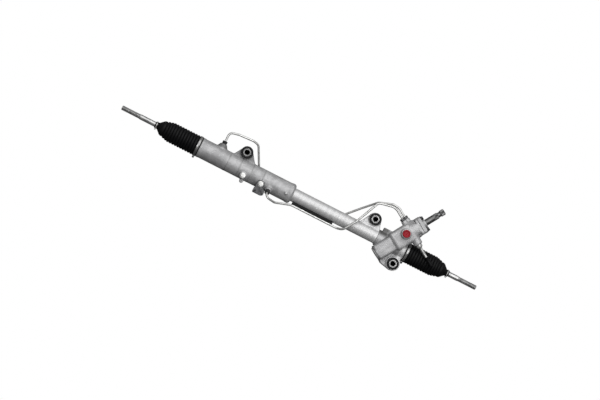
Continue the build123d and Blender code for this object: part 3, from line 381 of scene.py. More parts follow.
def grid(name, points, ends="ring"):
    """A mesh from rows of points, each closed round; the rows close into a ring, or end in poles."""
    rows, columns = points.shape[:2]
    index = np.arange(rows * columns).reshape(rows, columns)
    beside = np.roll(index, -1, axis=1)
    above = np.roll(index, -1, axis=0)
    across = np.roll(above, -1, axis=1)
    last = rows if ends == "ring" else rows - 1
    quads = np.stack([index, beside, across, above], axis=-1)[:last].reshape(-1, 4)
    vertices = points.reshape(-1, 3)
    faces = quads.tolist()
    if ends == "pole":
        low, high = rows * columns, rows * columns + 1
        vertices = np.vstack([vertices, points[0].mean(0), points[-1].mean(0)])
        faces += np.stack([beside[0], index[0], np.full(columns, low)], axis=-1).tolist()
        faces += np.stack([index[-1], beside[-1], np.full(columns, high)], axis=-1).tolist()
    mesh = bpy.data.meshes.new(name)
    mesh.from_pydata(place(vertices).tolist(), [], faces)
    mesh.update()
    return piece_from(name, mesh)


def lathe(name, axis, outline, turns=64, ends="ring", flats=None, ripple=None):
    """Carries an outline of (radius, place) round an axis.

    Where a row has flats, its radius is at most flats / cos a, a being the angle from the nearest
    flat's middle; then ripple(radius, angle, place) may change it.
    """
    outline = np.asarray(outline, float)
    angle = np.linspace(0, 2 * np.pi, turns, endpoint=False)[None, :]
    radius, along = outline[:, :1], outline[:, 1:2]
    radius = np.broadcast_to(radius, (len(outline), turns))
    if flats is not None:
        sector = (angle + np.pi / 6) % (np.pi / 3) - np.pi / 6
        radius = np.minimum(radius, np.asarray(flats, float)[:, None] / np.cos(sector))
    if ripple is not None:
        radius = ripple(radius, angle, along)
    return grid(name, axis.at(radius, angle, along), ends)


def swept(name, path, radius, turns=20):
    """Carries a circle along a path, turned as little as the path allows; both ends are closed.

    A point is path + radius (across cos angle + third sin angle).
    """
    path = np.asarray(path, float)
    along = np.gradient(path, axis=0)
    along /= np.linalg.norm(along, axis=1)[:, None]
    across = np.empty_like(path)
    last = np.cross(along[0], (0.31, 0.17, 0.93))
    for row, way in enumerate(along):
        last = last - way * (last @ way)
        last = last / np.linalg.norm(last)
        across[row] = last
    third = np.cross(along, across)
    angle = np.linspace(0, 2 * np.pi, turns, endpoint=False)[None, :, None]
    rim = np.cos(angle) * across[:, None] + np.sin(angle) * third[:, None]
    width = np.broadcast_to(np.asarray(radius, float), len(path))[:, None, None]
    return grid(name, path[:, None] + width * rim, "pole")


def bent(corners, bends, step=2.5):
    """The points of a path through corners: each is rounded by an arc of its bend's radius.

    Points lie about a step apart on the arcs and at most LONGEST_STEP apart on the straights.
    """
    corners = np.asarray(corners, float)
    points = [corners[:1]]
    for before, corner, after, radius in zip(corners, corners[1:], corners[2:], bends):
        into, out = unit(corner - before), unit(after - corner)
        turn = math.acos(np.clip(into @ out, -1, 1))
        reach = radius * math.tan(turn / 2)
        side = unit(out - into)
        centre = corner + side * math.hypot(radius, reach)
        t = np.linspace(-turn / 2, turn / 2, max(5, int(radius * turn / step) + 2))[:, None]
        points.append(centre + radius * (-side * np.cos(t) + unit(into + out) * np.sin(t)))
    points.append(corners[-1:])
    path = np.vstack(points)
    gaps = np.linalg.norm(np.diff(path, axis=0), axis=1)
    filled = [path[:1]]
    for start, end, gap in zip(path, path[1:], gaps):
        t = np.linspace(0, 1, max(2, int(gap / LONGEST_STEP) + 2))[1:, None]
        filled.append(start + t * (end - start))
    return np.vstack(filled)


def joined(name, *parts):
    """Several pieces made one mesh."""
    builder = bmesh.new()
    for part in parts:
        builder.from_mesh(part.data)
        mesh = part.data
        bpy.data.objects.remove(part)
        bpy.data.meshes.remove(mesh)
    mesh = bpy.data.meshes.new(name)
    builder.to_mesh(mesh)
    builder.free()
    return piece_from(name, mesh)


def hexagon(name, axis, start, end, flats, bore, washer=0.0, washer_height=0.0):
    """A nut or a bolt's head: chamfers at both ends, a round washer face at the start if it has one."""
    half = flats / 2
    corner = half / math.cos(math.pi / 6)
    face = 0.96 * half
    cut = (corner - face) * math.tan(math.radians(30))
    free = 1e3
    rows = []
    if washer:
        top = start + washer_height
        rows += [(washer - 0.4, start, free), (washer, start + 0.3, free), (washer, top - 0.3, free)]
        rows += [(washer - 0.5, top, free), (corner - 0.05, top + 0.05, half)]
    else:
        rows += [(face, start, free)]
        rows += [(face + (corner - face) * k / 4, start + cut * k / 4, half) for k in range(1, 5)]
    rows += [(face + (corner - face) * k / 4, end - cut * k / 4, half) for k in range(4, 0, -1)]
    rows += [(face, end, free)]
    if bore:
        rows += [(bore + 0.6, end, free), (bore, end - 0.6, free)]
        rows += [(bore, start + 0.4, free), (bore + 0.4, start, free)]
        ends = "ring"
    else:
        rows += [(0.55 * half, end - 0.02, free), (0.5 * half, end - 0.5, free)]
        ends = "pole"
    outline = [(r, z) for r, z, _ in rows]
    return lathe(name, axis, outline, 48, ends, flats=[f for _, _, f in rows])


def merged_copy(node, name):
    """A copy of a CAD node's mesh with its loose triangles joined."""
    builder = bmesh.new()
    builder.from_mesh(frame["nodes"][node].data)
    bmesh.ops.remove_doubles(builder, verts=builder.verts, dist=2e-6)
    mesh = bpy.data.meshes.new(name)
    builder.to_mesh(mesh)
    builder.free()
    return piece_from(name, mesh)


# ---- castings
# The rack's travel each way with a little room, and the height of its axis in the frame; metres
SLIDE, RACK_Z = 0.0766, -0.0435
# What slides inside a casting, and the room left round it; metres
SWEPT = {"gear_housing": ("right_ball_socket", 0.0015), "cylinder_housing": ("piston", 0.00015)}
# A casting's node, its voxel in metres and its passes of relaxing
CASTINGS = (
    ("gear_housing", 0.00125, 4),
    ("cylinder_housing", 0.0014, 5),
    ("centre_tube", 0.0013, 4),
    ("valve_cover", 0.0008, 3),
)
CAST_FINISH = {"gear_housing": "gear_casting_with_painted_light", "cylinder_housing": "cylinder_casting"}


def cleared(points, mover, gap):
    """Points inside the room that a mover on the rack's axis sweeps, pushed out through its nearest wall.

    The room is x from the mover's least x - SLIDE to its greatest x + SLIDE, and sqrt(y^2 + z^2) about
    the rack's axis below the mover's largest such radius + the gap.
    """
    mesh = frame["nodes"][mover].data
    own = np.empty(len(mesh.vertices) * 3)
    mesh.vertices.foreach_get("co", own)
    own = own.reshape(-1, 3)
    reach = np.hypot(own[:, 1], own[:, 2] - RACK_Z).max() + gap
    low, high = own[:, 0].min() - SLIDE, own[:, 0].max() + SLIDE
    x, y, z = points[:, 0], points[:, 1], points[:, 2] - RACK_Z
    radius = np.maximum(np.hypot(y, z), 1e-6)
    ways = np.stack([reach - radius, high - x, x - low])
    inside = ways.min(axis=0) > 0
    nearest = ways.argmin(axis=0)
    out = points.copy()
    widen = inside & (nearest == 0)
    out[widen, 1] = (y * reach / radius)[widen]
    out[widen, 2] = (z * reach / radius)[widen] + RACK_Z
    out[inside & (nearest == 1), 0] = high
    out[inside & (nearest == 2), 0] = low
    return out


def casting(node, voxel, passes, *extra):
    """The node's copy with its extra pads, remeshed in voxels and relaxed, for a casting's fillets.

    Each pass moves a point half way to the mean of its neighbours.
    """
    rough = joined("rough_" + node, merged_copy(node, "plain_" + node), *extra)
    remesh = rough.modifiers.new("voxels", "REMESH")
    remesh.mode = "VOXEL"
    remesh.voxel_size = voxel
    graph = bpy.context.evaluated_depsgraph_get()
    mesh = bpy.data.meshes.new_from_object(rough.evaluated_get(graph))
    old = rough.data
    bpy.data.objects.remove(rough)
    bpy.data.meshes.remove(old)
    count = len(mesh.vertices)
    points = np.empty(count * 3)
    mesh.vertices.foreach_get("co", points)
    points = points.reshape(-1, 3)
    edges = np.empty(len(mesh.edges) * 2, np.int64)
    mesh.edges.foreach_get("vertices", edges)
    first, second = edges.reshape(-1, 2).T
    degree = np.bincount(np.concatenate([first, second]), minlength=count)[:, None]
    for _ in range(passes):
        total = np.zeros_like(points)
        for axis in range(3):
            total[:, axis] += np.bincount(first, points[second, axis], count)
            total[:, axis] += np.bincount(second, points[first, axis], count)
        points += 0.5 * (total / degree - points)
    if node in SWEPT:
        points = cleared(points, *SWEPT[node])
    mesh.vertices.foreach_set("co", points.ravel())
    mesh.name = "cast_" + node
    mesh.update()
    return piece_from("cast_" + node, mesh)


# A squared pad's name, half width, inner radius, start and end along the pinion's axis, and bend
PADS = (("lobe_pad", 27.6, 24.5, 7.0, 72.0, 8.0), ("lower_pad", 22.3, 18.5, -49.0, 12.0, 5.0))


def square_pad(name, half, inner, start, end, bend):
    """A squared front for a round part about the pinion's axis, as a shell.

    In front of the axis the radius is half / (|cos|^6 + |sin|^6)^(1/6), behind it half; within a bend
    of either end it shrinks by bend - sqrt(bend^2 - d^2), where d is the depth into the bend.
    """
    turns = 96
    angle = np.linspace(0, 2 * np.pi, turns, endpoint=False)
    square = half / (np.abs(np.cos(angle)) ** 6 + np.abs(np.sin(angle)) ** 6) ** (1 / 6)
    outer = np.where(np.sin(angle) < 0, square, half)
    low, high = start + bend, end - bend
    reach = bend * np.sin(np.linspace(0.02, 1, 9) * np.pi / 2) * 0.999
    along = np.concatenate([low - reach[::-1], np.linspace(low, high, 8), high + reach])
    depth = np.clip(low - along, 0, None) + np.clip(along - high, 0, None)
    shrink = bend - np.sqrt(bend**2 - depth**2)
    rows = np.maximum(outer[None, :] - shrink[:, None], inner + 0.2)
    rows = np.vstack([rows, np.full((2, turns), inner)])
    along = np.concatenate([along, [along[-1], along[0]]])
    return grid(name, PINION.at(rows, angle[None, :], along[:, None]))


def return_pad():
    """The stout foot of the return port, round its bore."""
    outline = [(7.0, 22.0), (13.0, 22.0), (13.0, 38.0), (12.2, 40.2), (10.5, 41.4), (7.0, 41.4)]
    return lathe("return_pad", RETURN_PORT, outline, 64)


# ---- boots: places along the ball joint's axis, from the ball's centre outwards
FOLD = 8.2
FOLD_DEPTH = 2.6
FOLDS_START = -76.0
FOLDS_END = FOLDS_START + 12 * FOLD
NECK_END = 33.0
CUFF_START = 44.0
CUFF_END = 53.0
BOOT_WALL = 1.5
# Each stretch of folds: the shares of the rack's travel at its two ends, and its number of folds
STRETCHES = (
    (0.0, 0.14, 1),
    (0.14, 0.30, 2),
    (0.30, 0.50, 3),
    (0.50, 0.70, 3),
    (0.70, 0.86, 2),
    (0.86, 1.0, 1),
)


def boot_radius(s):
    """The crest line less FOLD_DEPTH (1 - |sin(pi (s - FOLDS_START) / FOLD)|^0.5), then half a fold."""
    line = np.interp(s, (-88, 4, 30, 33, 40, CUFF_START), (29.4, 29.3, 22.0, 20.0, 13.4, 9.8))
    wave = np.abs(np.sin(np.pi * (s - FOLDS_START) / FOLD)) ** 0.5
    after = np.abs(np.sin(np.pi * np.clip(s - FOLDS_END, 0, 7.6) / 15.2)) ** 0.5
    return line - FOLD_DEPTH * (1 - np.where(s < FOLDS_END, wave, after))


def sleeve_of(name, axis, s, outer, wall):
    """A closed sleeve between an outer outline and the same less its wall."""
    outline = np.vstack([np.column_stack([outer, s]), np.column_stack([outer - wall, s])[::-1]])
    return lathe(name, axis, outline, 96)


def stretch_between(piece, axis, start, end):
    """Bakes the piece's place into its mesh; the axis's points at start and end are found but not used."""
    a, b = (tuple(place(axis.at(0.0, 0.0, s))) for s in (start, end))
    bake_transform(piece)


def boot(side):
    """One bellows in sections: the cuff goes with the housing; the folds, the neck and the nose have no body.
    """
    axis = outward(side)
    lip = np.array([-88, -87.6, -86.6, -86.2, -78.8, -78.4, -76.9, -76.3, -76])
    lip_outer = np.array([28.9, 29.4, 29.4, 29.0, 29.0, 29.4, 29.4, 28.6, boot_radius(-76.0)])
    cuff = sleeve_of(f"{side}_boot_cuff", axis, lip, lip_outer, np.minimum(lip_outer - 25.9, 3.4).clip(0.8))
    finished(cuff, "boot_rubber", "housing", f"{side}_boot", sharp=60.0)
    start = FOLDS_START
    for number, (low, high, folds) in enumerate(STRETCHES, 1):
        end = start + folds * FOLD
        s = np.linspace(start, end, folds * 14 + 1)
        part = sleeve_of(f"{side}_boot_fold_{number}", axis, s, boot_radius(s), BOOT_WALL)
        finished(part, "boot_rubber", None, f"{side}_boot", sharp=60.0)
        length = (end - start) / (high - low)
        zero = start - low * length
        stretch_between(part, axis, zero, zero + length)
        start = end
    s = np.linspace(FOLDS_END, NECK_END, 16)
    neck = sleeve_of(f"{side}_boot_neck", axis, s, boot_radius(s), BOOT_WALL)
    finished(neck, "boot_rubber", None, f"{side}_boot", sharp=60.0)
    stretch_between(neck, axis, FOLDS_END, NECK_END)
    cuff_places = [45.0, 46.2, 46.6, 50.6, 51.0, 52.2, 52.8, CUFF_END]
    s = np.concatenate([np.linspace(NECK_END, CUFF_START, 14), cuff_places])
    nose_outer = np.concatenate([boot_radius(s[:14]), [9.8, 9.7, 9.2, 9.2, 9.7, 9.7, 9.4, 8.6]])
    wall = np.interp(s, (NECK_END, CUFF_START, 52.2, CUFF_END), (BOOT_WALL, 1.9, 1.9, 0.8))
    nose = sleeve_of(f"{side}_boot_nose", axis, s, nose_outer, wall)
    finished(nose, "boot_rubber", None, f"{side}_boot", sharp=60.0)
    stretch_between(nose, axis, NECK_END, CUFF_START)


def band_clamp(side):
    """The steel band with rolled edges, and the crimped ear that tightens it.

    The ear stands 4.6 exp(-((angle - 180) / 5.5)^4) over the band, with the angle in degrees.
    """
    axis = outward(side)
    low, high, r = -86.0, -79.0, 29.6
    outline = [(r, low + 0.4), (r + 0.5, low), (r + 0.9, low + 0.4), (r + 0.65, low + 1.2)]
    outline += [(r + 0.65, high - 1.2), (r + 0.9, high - 0.4), (r + 0.5, high), (r, high - 0.4)]
    ring = lathe("ring", axis, outline, 96)
    angle = np.radians(np.linspace(166, 194, 25))
    rise = 4.6 * np.exp(-((np.degrees(angle) - 180) / 5.5) ** 4)
    rows = []
    for offset, edge in ((0.7, low + 0.9), (1.5, low + 0.9), (1.5, high - 0.9), (0.7, high - 0.9)):
        rows.append(axis.at(r + offset + rise, angle, np.full(25, edge)))
    ear = grid("ear", np.stack(rows, axis=1), "pole")
    clamp = joined(f"{side}_band_clamp", ring, ear)
    finished(clamp, "zinc_plate", "housing", f"{side}_boot_band", finish="band_steel")


def wire_clip(side):
    """The spring clip: not quite two turns of wire round the cuff.

    Its radius is 10.35, and grows by up to 3.6 over the first and the last twentieth, the two tails.
    """
    axis = outward(side)
    t = np.linspace(0, 1, 150)
    angle = np.pi + 0.14 + t * (4 * np.pi - 0.28)
    tail = 3.6 * (np.clip(1 - t / 0.05, 0, 1) + np.clip((t - 0.95) / 0.05, 0, 1))
    path = axis.at(10.35 + tail, angle, 47.4 + 2.4 * t)
    finished(swept(f"{side}_wire_clip", path, 0.75, 10), "zinc_plate", f"{side}_rod", f"{side}_boot_clip")


# ---- tie rods
# The radii of the ball, the neck behind it and the shank; where the ball's back is cut flat; the thread
BALL, NECK, SHANK = 11.0, 6.0, 7.5
BALL_BACK = -8.0
THREAD_CREST, THREAD_DEPTH, THREAD_PITCH, THREAD_LENGTH = 7.0, 0.8, 1.5, 58.0


def threaded(start, end):
    """A ripple that cuts the thread: THREAD_DEPTH |2 p - 1|, p = place / pitch + angle / 2 pi (mod 1)."""

    def cut(radius, angle, along):
        phase = (along / THREAD_PITCH + angle / (2 * np.pi)) % 1.0
        tooth = np.abs(2 * phase - 1)
        inside = np.clip((along - start) / THREAD_PITCH, 0, 1) * np.clip((end - along) / THREAD_PITCH, 0, 1)
        shell = radius > 5.0
        return radius - THREAD_DEPTH * tooth * inside * shell

    return cut


def tie_rod(side):
    """The rod with its ball, its neck, the groove of the boot's cuff and its threaded end."""
    length = ROD_LENGTH[side]
    thread = length - THREAD_LENGTH
    ball = np.linspace(BALL_BACK, math.sqrt(BALL**2 - NECK**2), 24)
    outline = [(0.5, BALL_BACK)] + [(math.sqrt(BALL**2 - s * s), s) for s in ball]
    outline += [(NECK, 11.5), (NECK, 20.0), (6.3, 22.0), (7.2, 25.0), (SHANK, 26.0)]
    outline += [(SHANK, 44.0), (7.0, 44.6), (7.0, 52.4), (SHANK, 53.0), (SHANK, 53.6)]
    outline += [(SHANK, thread - 0.4), (SHANK, thread), (THREAD_CREST, thread + 1.0)]
    outline += [(THREAD_CREST, s) for s in np.arange(thread + 1.25, length - 1.5, 0.25)]
    outline += [(THREAD_CREST, length - 1.5), (5.6, length - 0.1), (5.2, length), (0.5, length)]
    thread_cut = threaded(thread + 1.5, length - 1.0)
    rod = lathe(f"{side}_rod", outward(side), outline, 48, "pole", ripple=thread_cut)
    finished(rod, "forged_steel", f"{side}_rod", f"{side}_tie_rod", sharp=40.0)


# ---- bushings
def mirrored(front):
    """An outline's front half, and the same behind it in the other order."""
    return front + [(radius, -along) for radius, along in reversed(front)]


def bushing(side):
    """The rubber with the lips and the groove of its faces, and the chamfered steel sleeve."""
    x, z = BUSHINGS[side]
    axis = Axis((x, 0, z), (0, 1, 0), (1, 0, 0))
    lip, half = 14.3, 18.0
    front = [(11.9, -half + 0.6), (12.3, -half), (13.2, -half), (13.7, -half + 1.1), (14.6, -half + 1.1)]
    front += [(15.2, -half), (16.9, -half), (17.6, -half + 0.8), (17.6, -lip - 0.4), (17.2, -lip)]
    front += [(13.7, -lip)]
    rubber_ring = lathe(f"{side}_bushing_ring", axis, mirrored(front), 72)
    finished(rubber_ring, "bushing_rubber", "housing", f"{side}_bushing_rubber", sharp=50.0)

    half = 19.0
    front = [(7.3, -half + 0.4), (7.7, -half), (9.2, -half), (11.0, -half), (11.7, -half + 0.7)]
    sleeve = lathe(f"{side}_bushing_tube", axis, mirrored(front), 72)
    finished(sleeve, "forged_steel", "housing", f"{side}_bushing_sleeve", finish="splined_steel")


# ---- input shaft: places along the pinion's axis, radii, then the splines' number, depth and start
ROTOR_START, ROTOR_END, SHAFT_TIP, GROOVE = 51.5, 89.0, 179.0, 162.0
ROTOR, JOURNAL, CREST, GROOVE_FLOOR, SHAFT_BORE = 10.4, 9.5, 9.3, 7.5, 3.3
SPLINES, SPLINE_DEPTH, SPLINE_START = 36, 0.55, 146.0


def steering_shaft():
    """The rotor inside and the splined shaft outside, with the groove for the pinch bolt.

    The splines cut SPLINE_DEPTH (0.5 - 0.5 cos(SPLINES angle))^0.7 from the part above the cover.
    """

    def splines(radius, angle, along):
        beside_groove = (along < GROOVE - 4.0) | (along > GROOVE + 4.0)
        zone = ((along > SPLINE_START) & (along < SHAFT_TIP - 0.1) & beside_groove) * 1.0
        tooth = (0.5 - 0.5 * np.cos(SPLINES * angle)) ** 0.7
        return radius - zone * (radius > 8.0) * SPLINE_DEPTH * tooth

    outline = [(SHAFT_BORE, ROTOR_START), (ROTOR, ROTOR_START), (ROTOR, ROTOR_END), (JOURNAL, ROTOR_END)]
    outline += [(JOURNAL, 118.2), (CREST, 118.5), (CREST, 144.0), (9.1, 145.0), (CREST, 146.5)]
    outline += [(CREST, GROOVE - 5), (7.7, GROOVE - 3.5), (GROOVE_FLOOR, GROOVE - 3)]
    outline += [(GROOVE_FLOOR, GROOVE + 3), (7.7, GROOVE + 3.5)]
    outline += [(CREST, GROOVE + 5), (CREST, SHAFT_TIP - 1.5), (8.0, SHAFT_TIP - 0.1), (7.6, SHAFT_TIP)]
    outline += [(3.6, SHAFT_TIP), (SHAFT_BORE, SHAFT_TIP - 0.3)]
    shaft = lathe("splined_shaft", PINION, outline, 288, ripple=splines)
    finished(shaft, "forged_steel", "steering_input", "input_shaft", sharp=28.0, finish="splined_steel")


# ---- ports, pipes and unions
def side_port(w, y, sign, reach=0.0):
    """The axis of a port on the tower, across the pinion's axis."""
    level = np.array((0, y - PINION.origin[1], 0))
    origin = PINION.at(0.0, 0.0, w) + level + sign * reach * PINION.across
    return Axis(origin, sign * PINION.across, (0, 1, 0))


LEAN = math.radians(50.0)
DOWN = np.array((0, -math.sin(LEAN), -math.cos(LEAN)))
REAR_PORT = side_port(75.0, -11.5, -1, 38.0)
FRONT_PORT = side_port(65.0, -28.0, -1, 38.0)
RETURN_PORT = side_port(66.0, -36.0, 1)
LEFT_PORT = Axis((-261.0, 0, 40.0), (0, 0, 1), (1, 0, 0))
RIGHT_PORT = Axis(np.array((-91.0, 0, 0)) + 40.0 * DOWN, DOWN, (1, 0, 0))
PRESSURE_SPOT = PINION.at(0.0, 0.0, 50.0) - 4.0 * PINION.across + np.array((0, -37.5, 0))
PRESSURE_PORT = Axis(PRESSURE_SPOT, (0, -1, 0), (1, 0, 0))
# The pipes' outer radius; each pipe's corners and bends, from its tower port to its cylinder port
PIPE = 3.18
REAR_CORNERS = [(246, -8, 105), (206, 2, 91), (170, 22, 54), (128, 38, 8), (40, 40, -2), (-70, 41, -2)]
REAR_CORNERS += [(-128, 37, 0), (-173, 9, 82), (-190, 3, 85), (-234, 0, 82), (-261, 0, 76)]
REAR_BENDS = (14, 14, 22, 40, 40, 60, 60, 30, 16, 16, 30, 13)
FRONT_CORNERS = [(246, -29, 97), (204, -30, 88), (172, -29, 14), (148, -24, -25), (132, -11, -29)]
FRONT_CORNERS += [(40, -10, -29), (-14, -11, -29), (-60, -30, -45)]
FRONT_BENDS = (14, 16, 16, 30, 18, 18, 60, 30, 18, 11)


def pipes():
    """The two chamber pipes, from nut to nut, and the return stub with its collar and rubber cap."""
    rear = [REAR_PORT.at(0, 0, -6), REAR_PORT.at(0, 0, 35), *REAR_CORNERS, LEFT_PORT.at(0, 0, -6)]
    tube = swept("rear_pipe", bent(rear, REAR_BENDS), PIPE)
    finished(tube, "zinc_plate", "housing", "outer_chamber_pipe", sharp=60)
    front = [FRONT_PORT.at(0, 0, -6), FRONT_PORT.at(0, 0, 36), *FRONT_CORNERS]
    front += [RIGHT_PORT.at(0, 0, 25), RIGHT_PORT.at(0, 0, -6)]
    tube = swept("front_pipe", bent(front, FRONT_BENDS), PIPE)
    finished(tube, "zinc_plate", "housing", "inner_chamber_pipe", sharp=60)
    outline = [(0.3, 20.1), (5.6, 20.1), (6.0, 20.5), (6.0, 36.1), (8.0, 36.1), (8.5, 36.6), (8.5, 46.0)]
    outline += [(8.2, 48.5), (7.0, 50.0), (5.4, 51.2), (4.3, 52.3), (3.8, 54.0), (3.8, 82.0), (3.8, 107.4)]
    outline += [(4.0, 108.2), (3.7, 109.6), (3.2, 110.0), (0.3, 110.0)]
    stub = lathe("return_stub", RETURN_PORT, outline, 40, "pole")
    finished(stub, "zinc_plate", "housing", "return_pipe")
    outline = [(3.85, 83.2), (4.2, 83.0), (5.7, 83.0), (6.2, 83.4), (6.2, 85.5), (5.9, 86.2), (5.4, 87.0)]
    outline += [(5.2, 100.0), (5.3, 110.6), (5.1, 111.8), (4.4, 112.9), (3.4, 113.5), (0.4, 113.55)]
    outline += [(0.4, 110.05), (3.85, 110.05)]
    cap = lathe("return_cap_rubber", RETURN_PORT, outline, 40)
    finished(cap, "boot_rubber", "housing", "return_cap", sharp=40)


def unions():
    """Flare nuts with a neck behind their hexagon, on the four ports."""
    nuts = []
    for port in (REAR_PORT, FRONT_PORT, LEFT_PORT, RIGHT_PORT):
        nuts.append(hexagon("nut", port, 0.3, 7.9, 14.0, 3.22))
        neck = [(3.22, -9.0), (5.6, -9.0), (6.0, -8.6), (6.0, 0.9), (3.22, 0.9)]
        nuts.append(lathe("neck", port, neck, 36))
    finished(joined("flare_nuts", *nuts), "dark_steel", "housing", "pipe_unions")


def plug():
    """The moulded plug of the pressure port: a rolled rim, a dished middle and a small pip."""
    outline = [(0.3, -12.0), (6.3, -12.0), (6.95, -11.0), (6.95, 0.05), (10.9, 0.05), (11.5, 0.7)]
    outline += [(11.5, 4.4), (11.2, 5.6), (10.4, 6.4), (9.0, 6.5), (7.6, 6.2), (6.8, 5.2), (6.4, 4.5)]
    outline += [(2.4, 4.5), (2.0, 5.1), (0.9, 5.4), (0.3, 5.4)]
    cap = lathe("red_port_plug", PRESSURE_PORT, outline, 64, "pole")
    finished(cap, "red_plastic", "housing", "pressure_plug", sharp=45)


# ---- bolts and nuts
# From the pinion's axis to a cover bolt's, both ways
COVER_BOLT = 18.0
SHANK_RADIUS, WASHER_HEIGHT = 3.0, 1.6
# Each pad bolt's X and Z, and the height of its seat over the pad; the second one clamps the bracket
PAD_BOLTS = ((-174.0, -17.6, 0.05), (-118.0, -16.2, 3.10))


def bolt(axis, tip, seat, height, flats, washer):
    """The two parts of a bolt: a flanged head from its seat upwards, and a shank down to its tip."""
    head = hexagon("head", axis, seat, seat + height, flats, 0.0, washer, WASHER_HEIGHT)
    top = seat + 0.1
    outline = [(0.3, tip), (SHANK_RADIUS, tip), (SHANK_RADIUS, top), (0.3, top)]
    return head, lathe("shank", axis, outline, 24, "pole")


def fasteners():
    """The four cover bolts, the two pad bolts and the ring nut of the rack's guide."""
    parts = []
    for across in (-COVER_BOLT, COVER_BOLT):
        for third in (-COVER_BOLT, COVER_BOLT):
            parts += bolt(PINION.moved(across, third), 94.0, 108.0, 7.5, 10.0, 6.4)
    finished(joined("cover_bolt_heads", *parts), "dark_steel", "housing", "cover_bolts")
    parts = []
    for x, z, seat in PAD_BOLTS:
        parts += bolt(Axis((x, -30.0, z), (0, -1, 0), (1, 0, 0)), -8.0, seat, 5.0, 12.0, 8.2)
    finished(joined("pad_bolt_heads", *parts), "zinc_plate", "housing", "pad_bolts")
    ring_nut = hexagon("guide_ring_nut", GUIDE, 46.0, 53.0, 42.0, 16.02)
    finished(ring_nut, "zinc_plate", "housing", "guide_lock_nut")


def bracket():
    """The bracket's sheet with rounded corners and a soft edge, and its lip turned back under the foot."""
    x, z, _ = PAD_BOLTS[1]
    front, thick = -30.05, 3.0
    corners = [(0, 11), (-10, 9), (-11, -8), (-9, -12), (-13, -15), (-13, -30), (14, -30), (20, -26)]
    corners += [(19, -13), (11, -9), (10, 9), (0, 11)]
    bends = (4, 6, 4, 3, 4, 5, 5, 4, 5, 4)
    flat = bent([(x + u, 0, z + v) for u, v in corners], bends, 1.5)[:-1]
    middle = np.array((x, 0, z - 9.0))
    rows = []
    for y, inset in ((0, 0.6), (0.5, 0.0), (thick - 0.5, 0.0), (thick, 0.6)):
        size = np.linalg.norm(flat - middle, axis=1)[:, None]
        rows.append(middle + (flat - middle) * (1 - inset / size) + (0, front - y, 0))
    sheet = grid("sheet", np.stack(rows)[:, ::-1], "pole")
    ys, zs = (front - 0.3, front + 9.0), (z - 30.0, z - 27.0)
    section = [(ys[0], zs[0]), (ys[1], zs[0]), (ys[1], zs[1]), (ys[0], zs[1])]
    along = np.linspace(x - 12.0, x + 12.0, 5)
    lip = grid("lip", np.array([[(a, y, up) for y, up in section] for a in along]), "pole")
    finished(joined("clip_bracket", sheet, lip), "dark_steel", "housing", "support_bracket", sharp=40.0)


# Two places along the pinion's axis, both on the torsion bar's thin waist
BAR_FOOT, BAR_HEAD = 50.0, 110.0


def torsion_bar():
    """The valve's torsion bar, a smooth copy of its node with no body."""
    bar = finished(merged_copy("torsion_bar", "twisting_bar"), "ground_steel", None, "torsion_bar")
    stretch_between(bar, PINION, BAR_FOOT, BAR_HEAD)


def smooth_copies():
    """Copies of the plain outer nodes, with their facets joined and shaded round."""
    for node in ("pipe_strip", "bottom_cap", "guide_plug", "bushing_shells", "input_seal"):
        finished(merged_copy(node, "smooth_" + node), NODE_SLOT[node], "housing", node, sharp=30.0)


extra = {"gear_housing": (*(square_pad(*row) for row in PADS), return_pad())}
for node, voxel, passes in CASTINGS:
    copy = casting(node, voxel, passes, *extra.get(node, ()))
    finished(copy, NODE_SLOT[node], "housing", node, sharp=50.0, finish=CAST_FINISH.get(node))
for side in SIDES:
    boot(side)
    band_clamp(side)
    wire_clip(side)
    tie_rod(side)
for side in BUSHINGS:
    bushing(side)
steering_shaft()
pipes()
unions()
plug()
fasteners()
bracket()
torsion_bar()
smooth_copies()

for name, node in frame["nodes"].items():
    node.data.materials.clear()
    node.data.materials.append(FINISHES[NODE_SLOT[name]].material)


# ---- floor, light and camera
def one_sided(f):
    """The finish's material, clear where its back is seen."""
    behind = f.node("ShaderNodeNewGeometry", output="Backfacing")
    clear = f.node("ShaderNodeBsdfTransparent")
    both = f.node("ShaderNodeMixShader", {}, {0: behind, 1: Signal(f, f.shader.outputs[0]), 2: clear})
    f.tree.links.new(both.socket, f.tree.nodes["Material Output"].inputs["Surface"])
    return f.material


def stage_disc(name, rim, material):
    """A flat disc of the stage with that rim, in metres."""
    mesh = bpy.data.meshes.new(name)
    mesh.from_pydata(rim.tolist(), [], [list(range(len(rim)))])
    disc = piece_from(name, mesh)
    disc.data.materials.append(material)


def floor():
    """A disc under the lowest part, clear from below: pale to the camera, darker where it lights the rack."""
    radius, sides = 6.0, 64
    low = cad_box[0].z - 0.001
    angle = np.linspace(0, 2 * np.pi, sides, endpoint=False)
    rim = np.column_stack([radius * np.cos(angle) - 0.22, radius * np.sin(angle), np.full(sides, low)])
    f = Finish("pale_floor")
    cloud = f.noise(3.0, 3.0, 0.5)
    camera_ray = f.node("ShaderNodeLightPath", output="Is Camera Ray")
    dark = f.mix(cloud, (0.22, 0.22, 0.22), (0.24, 0.24, 0.24))
    pale = f.mix(cloud, (0.72, 0.72, 0.72), (0.76, 0.76, 0.76))
    f.set(base_color=f.mix(camera_ray, dark, pale), roughness=0.8)
    stage_disc("floor", rim, one_sided(f))


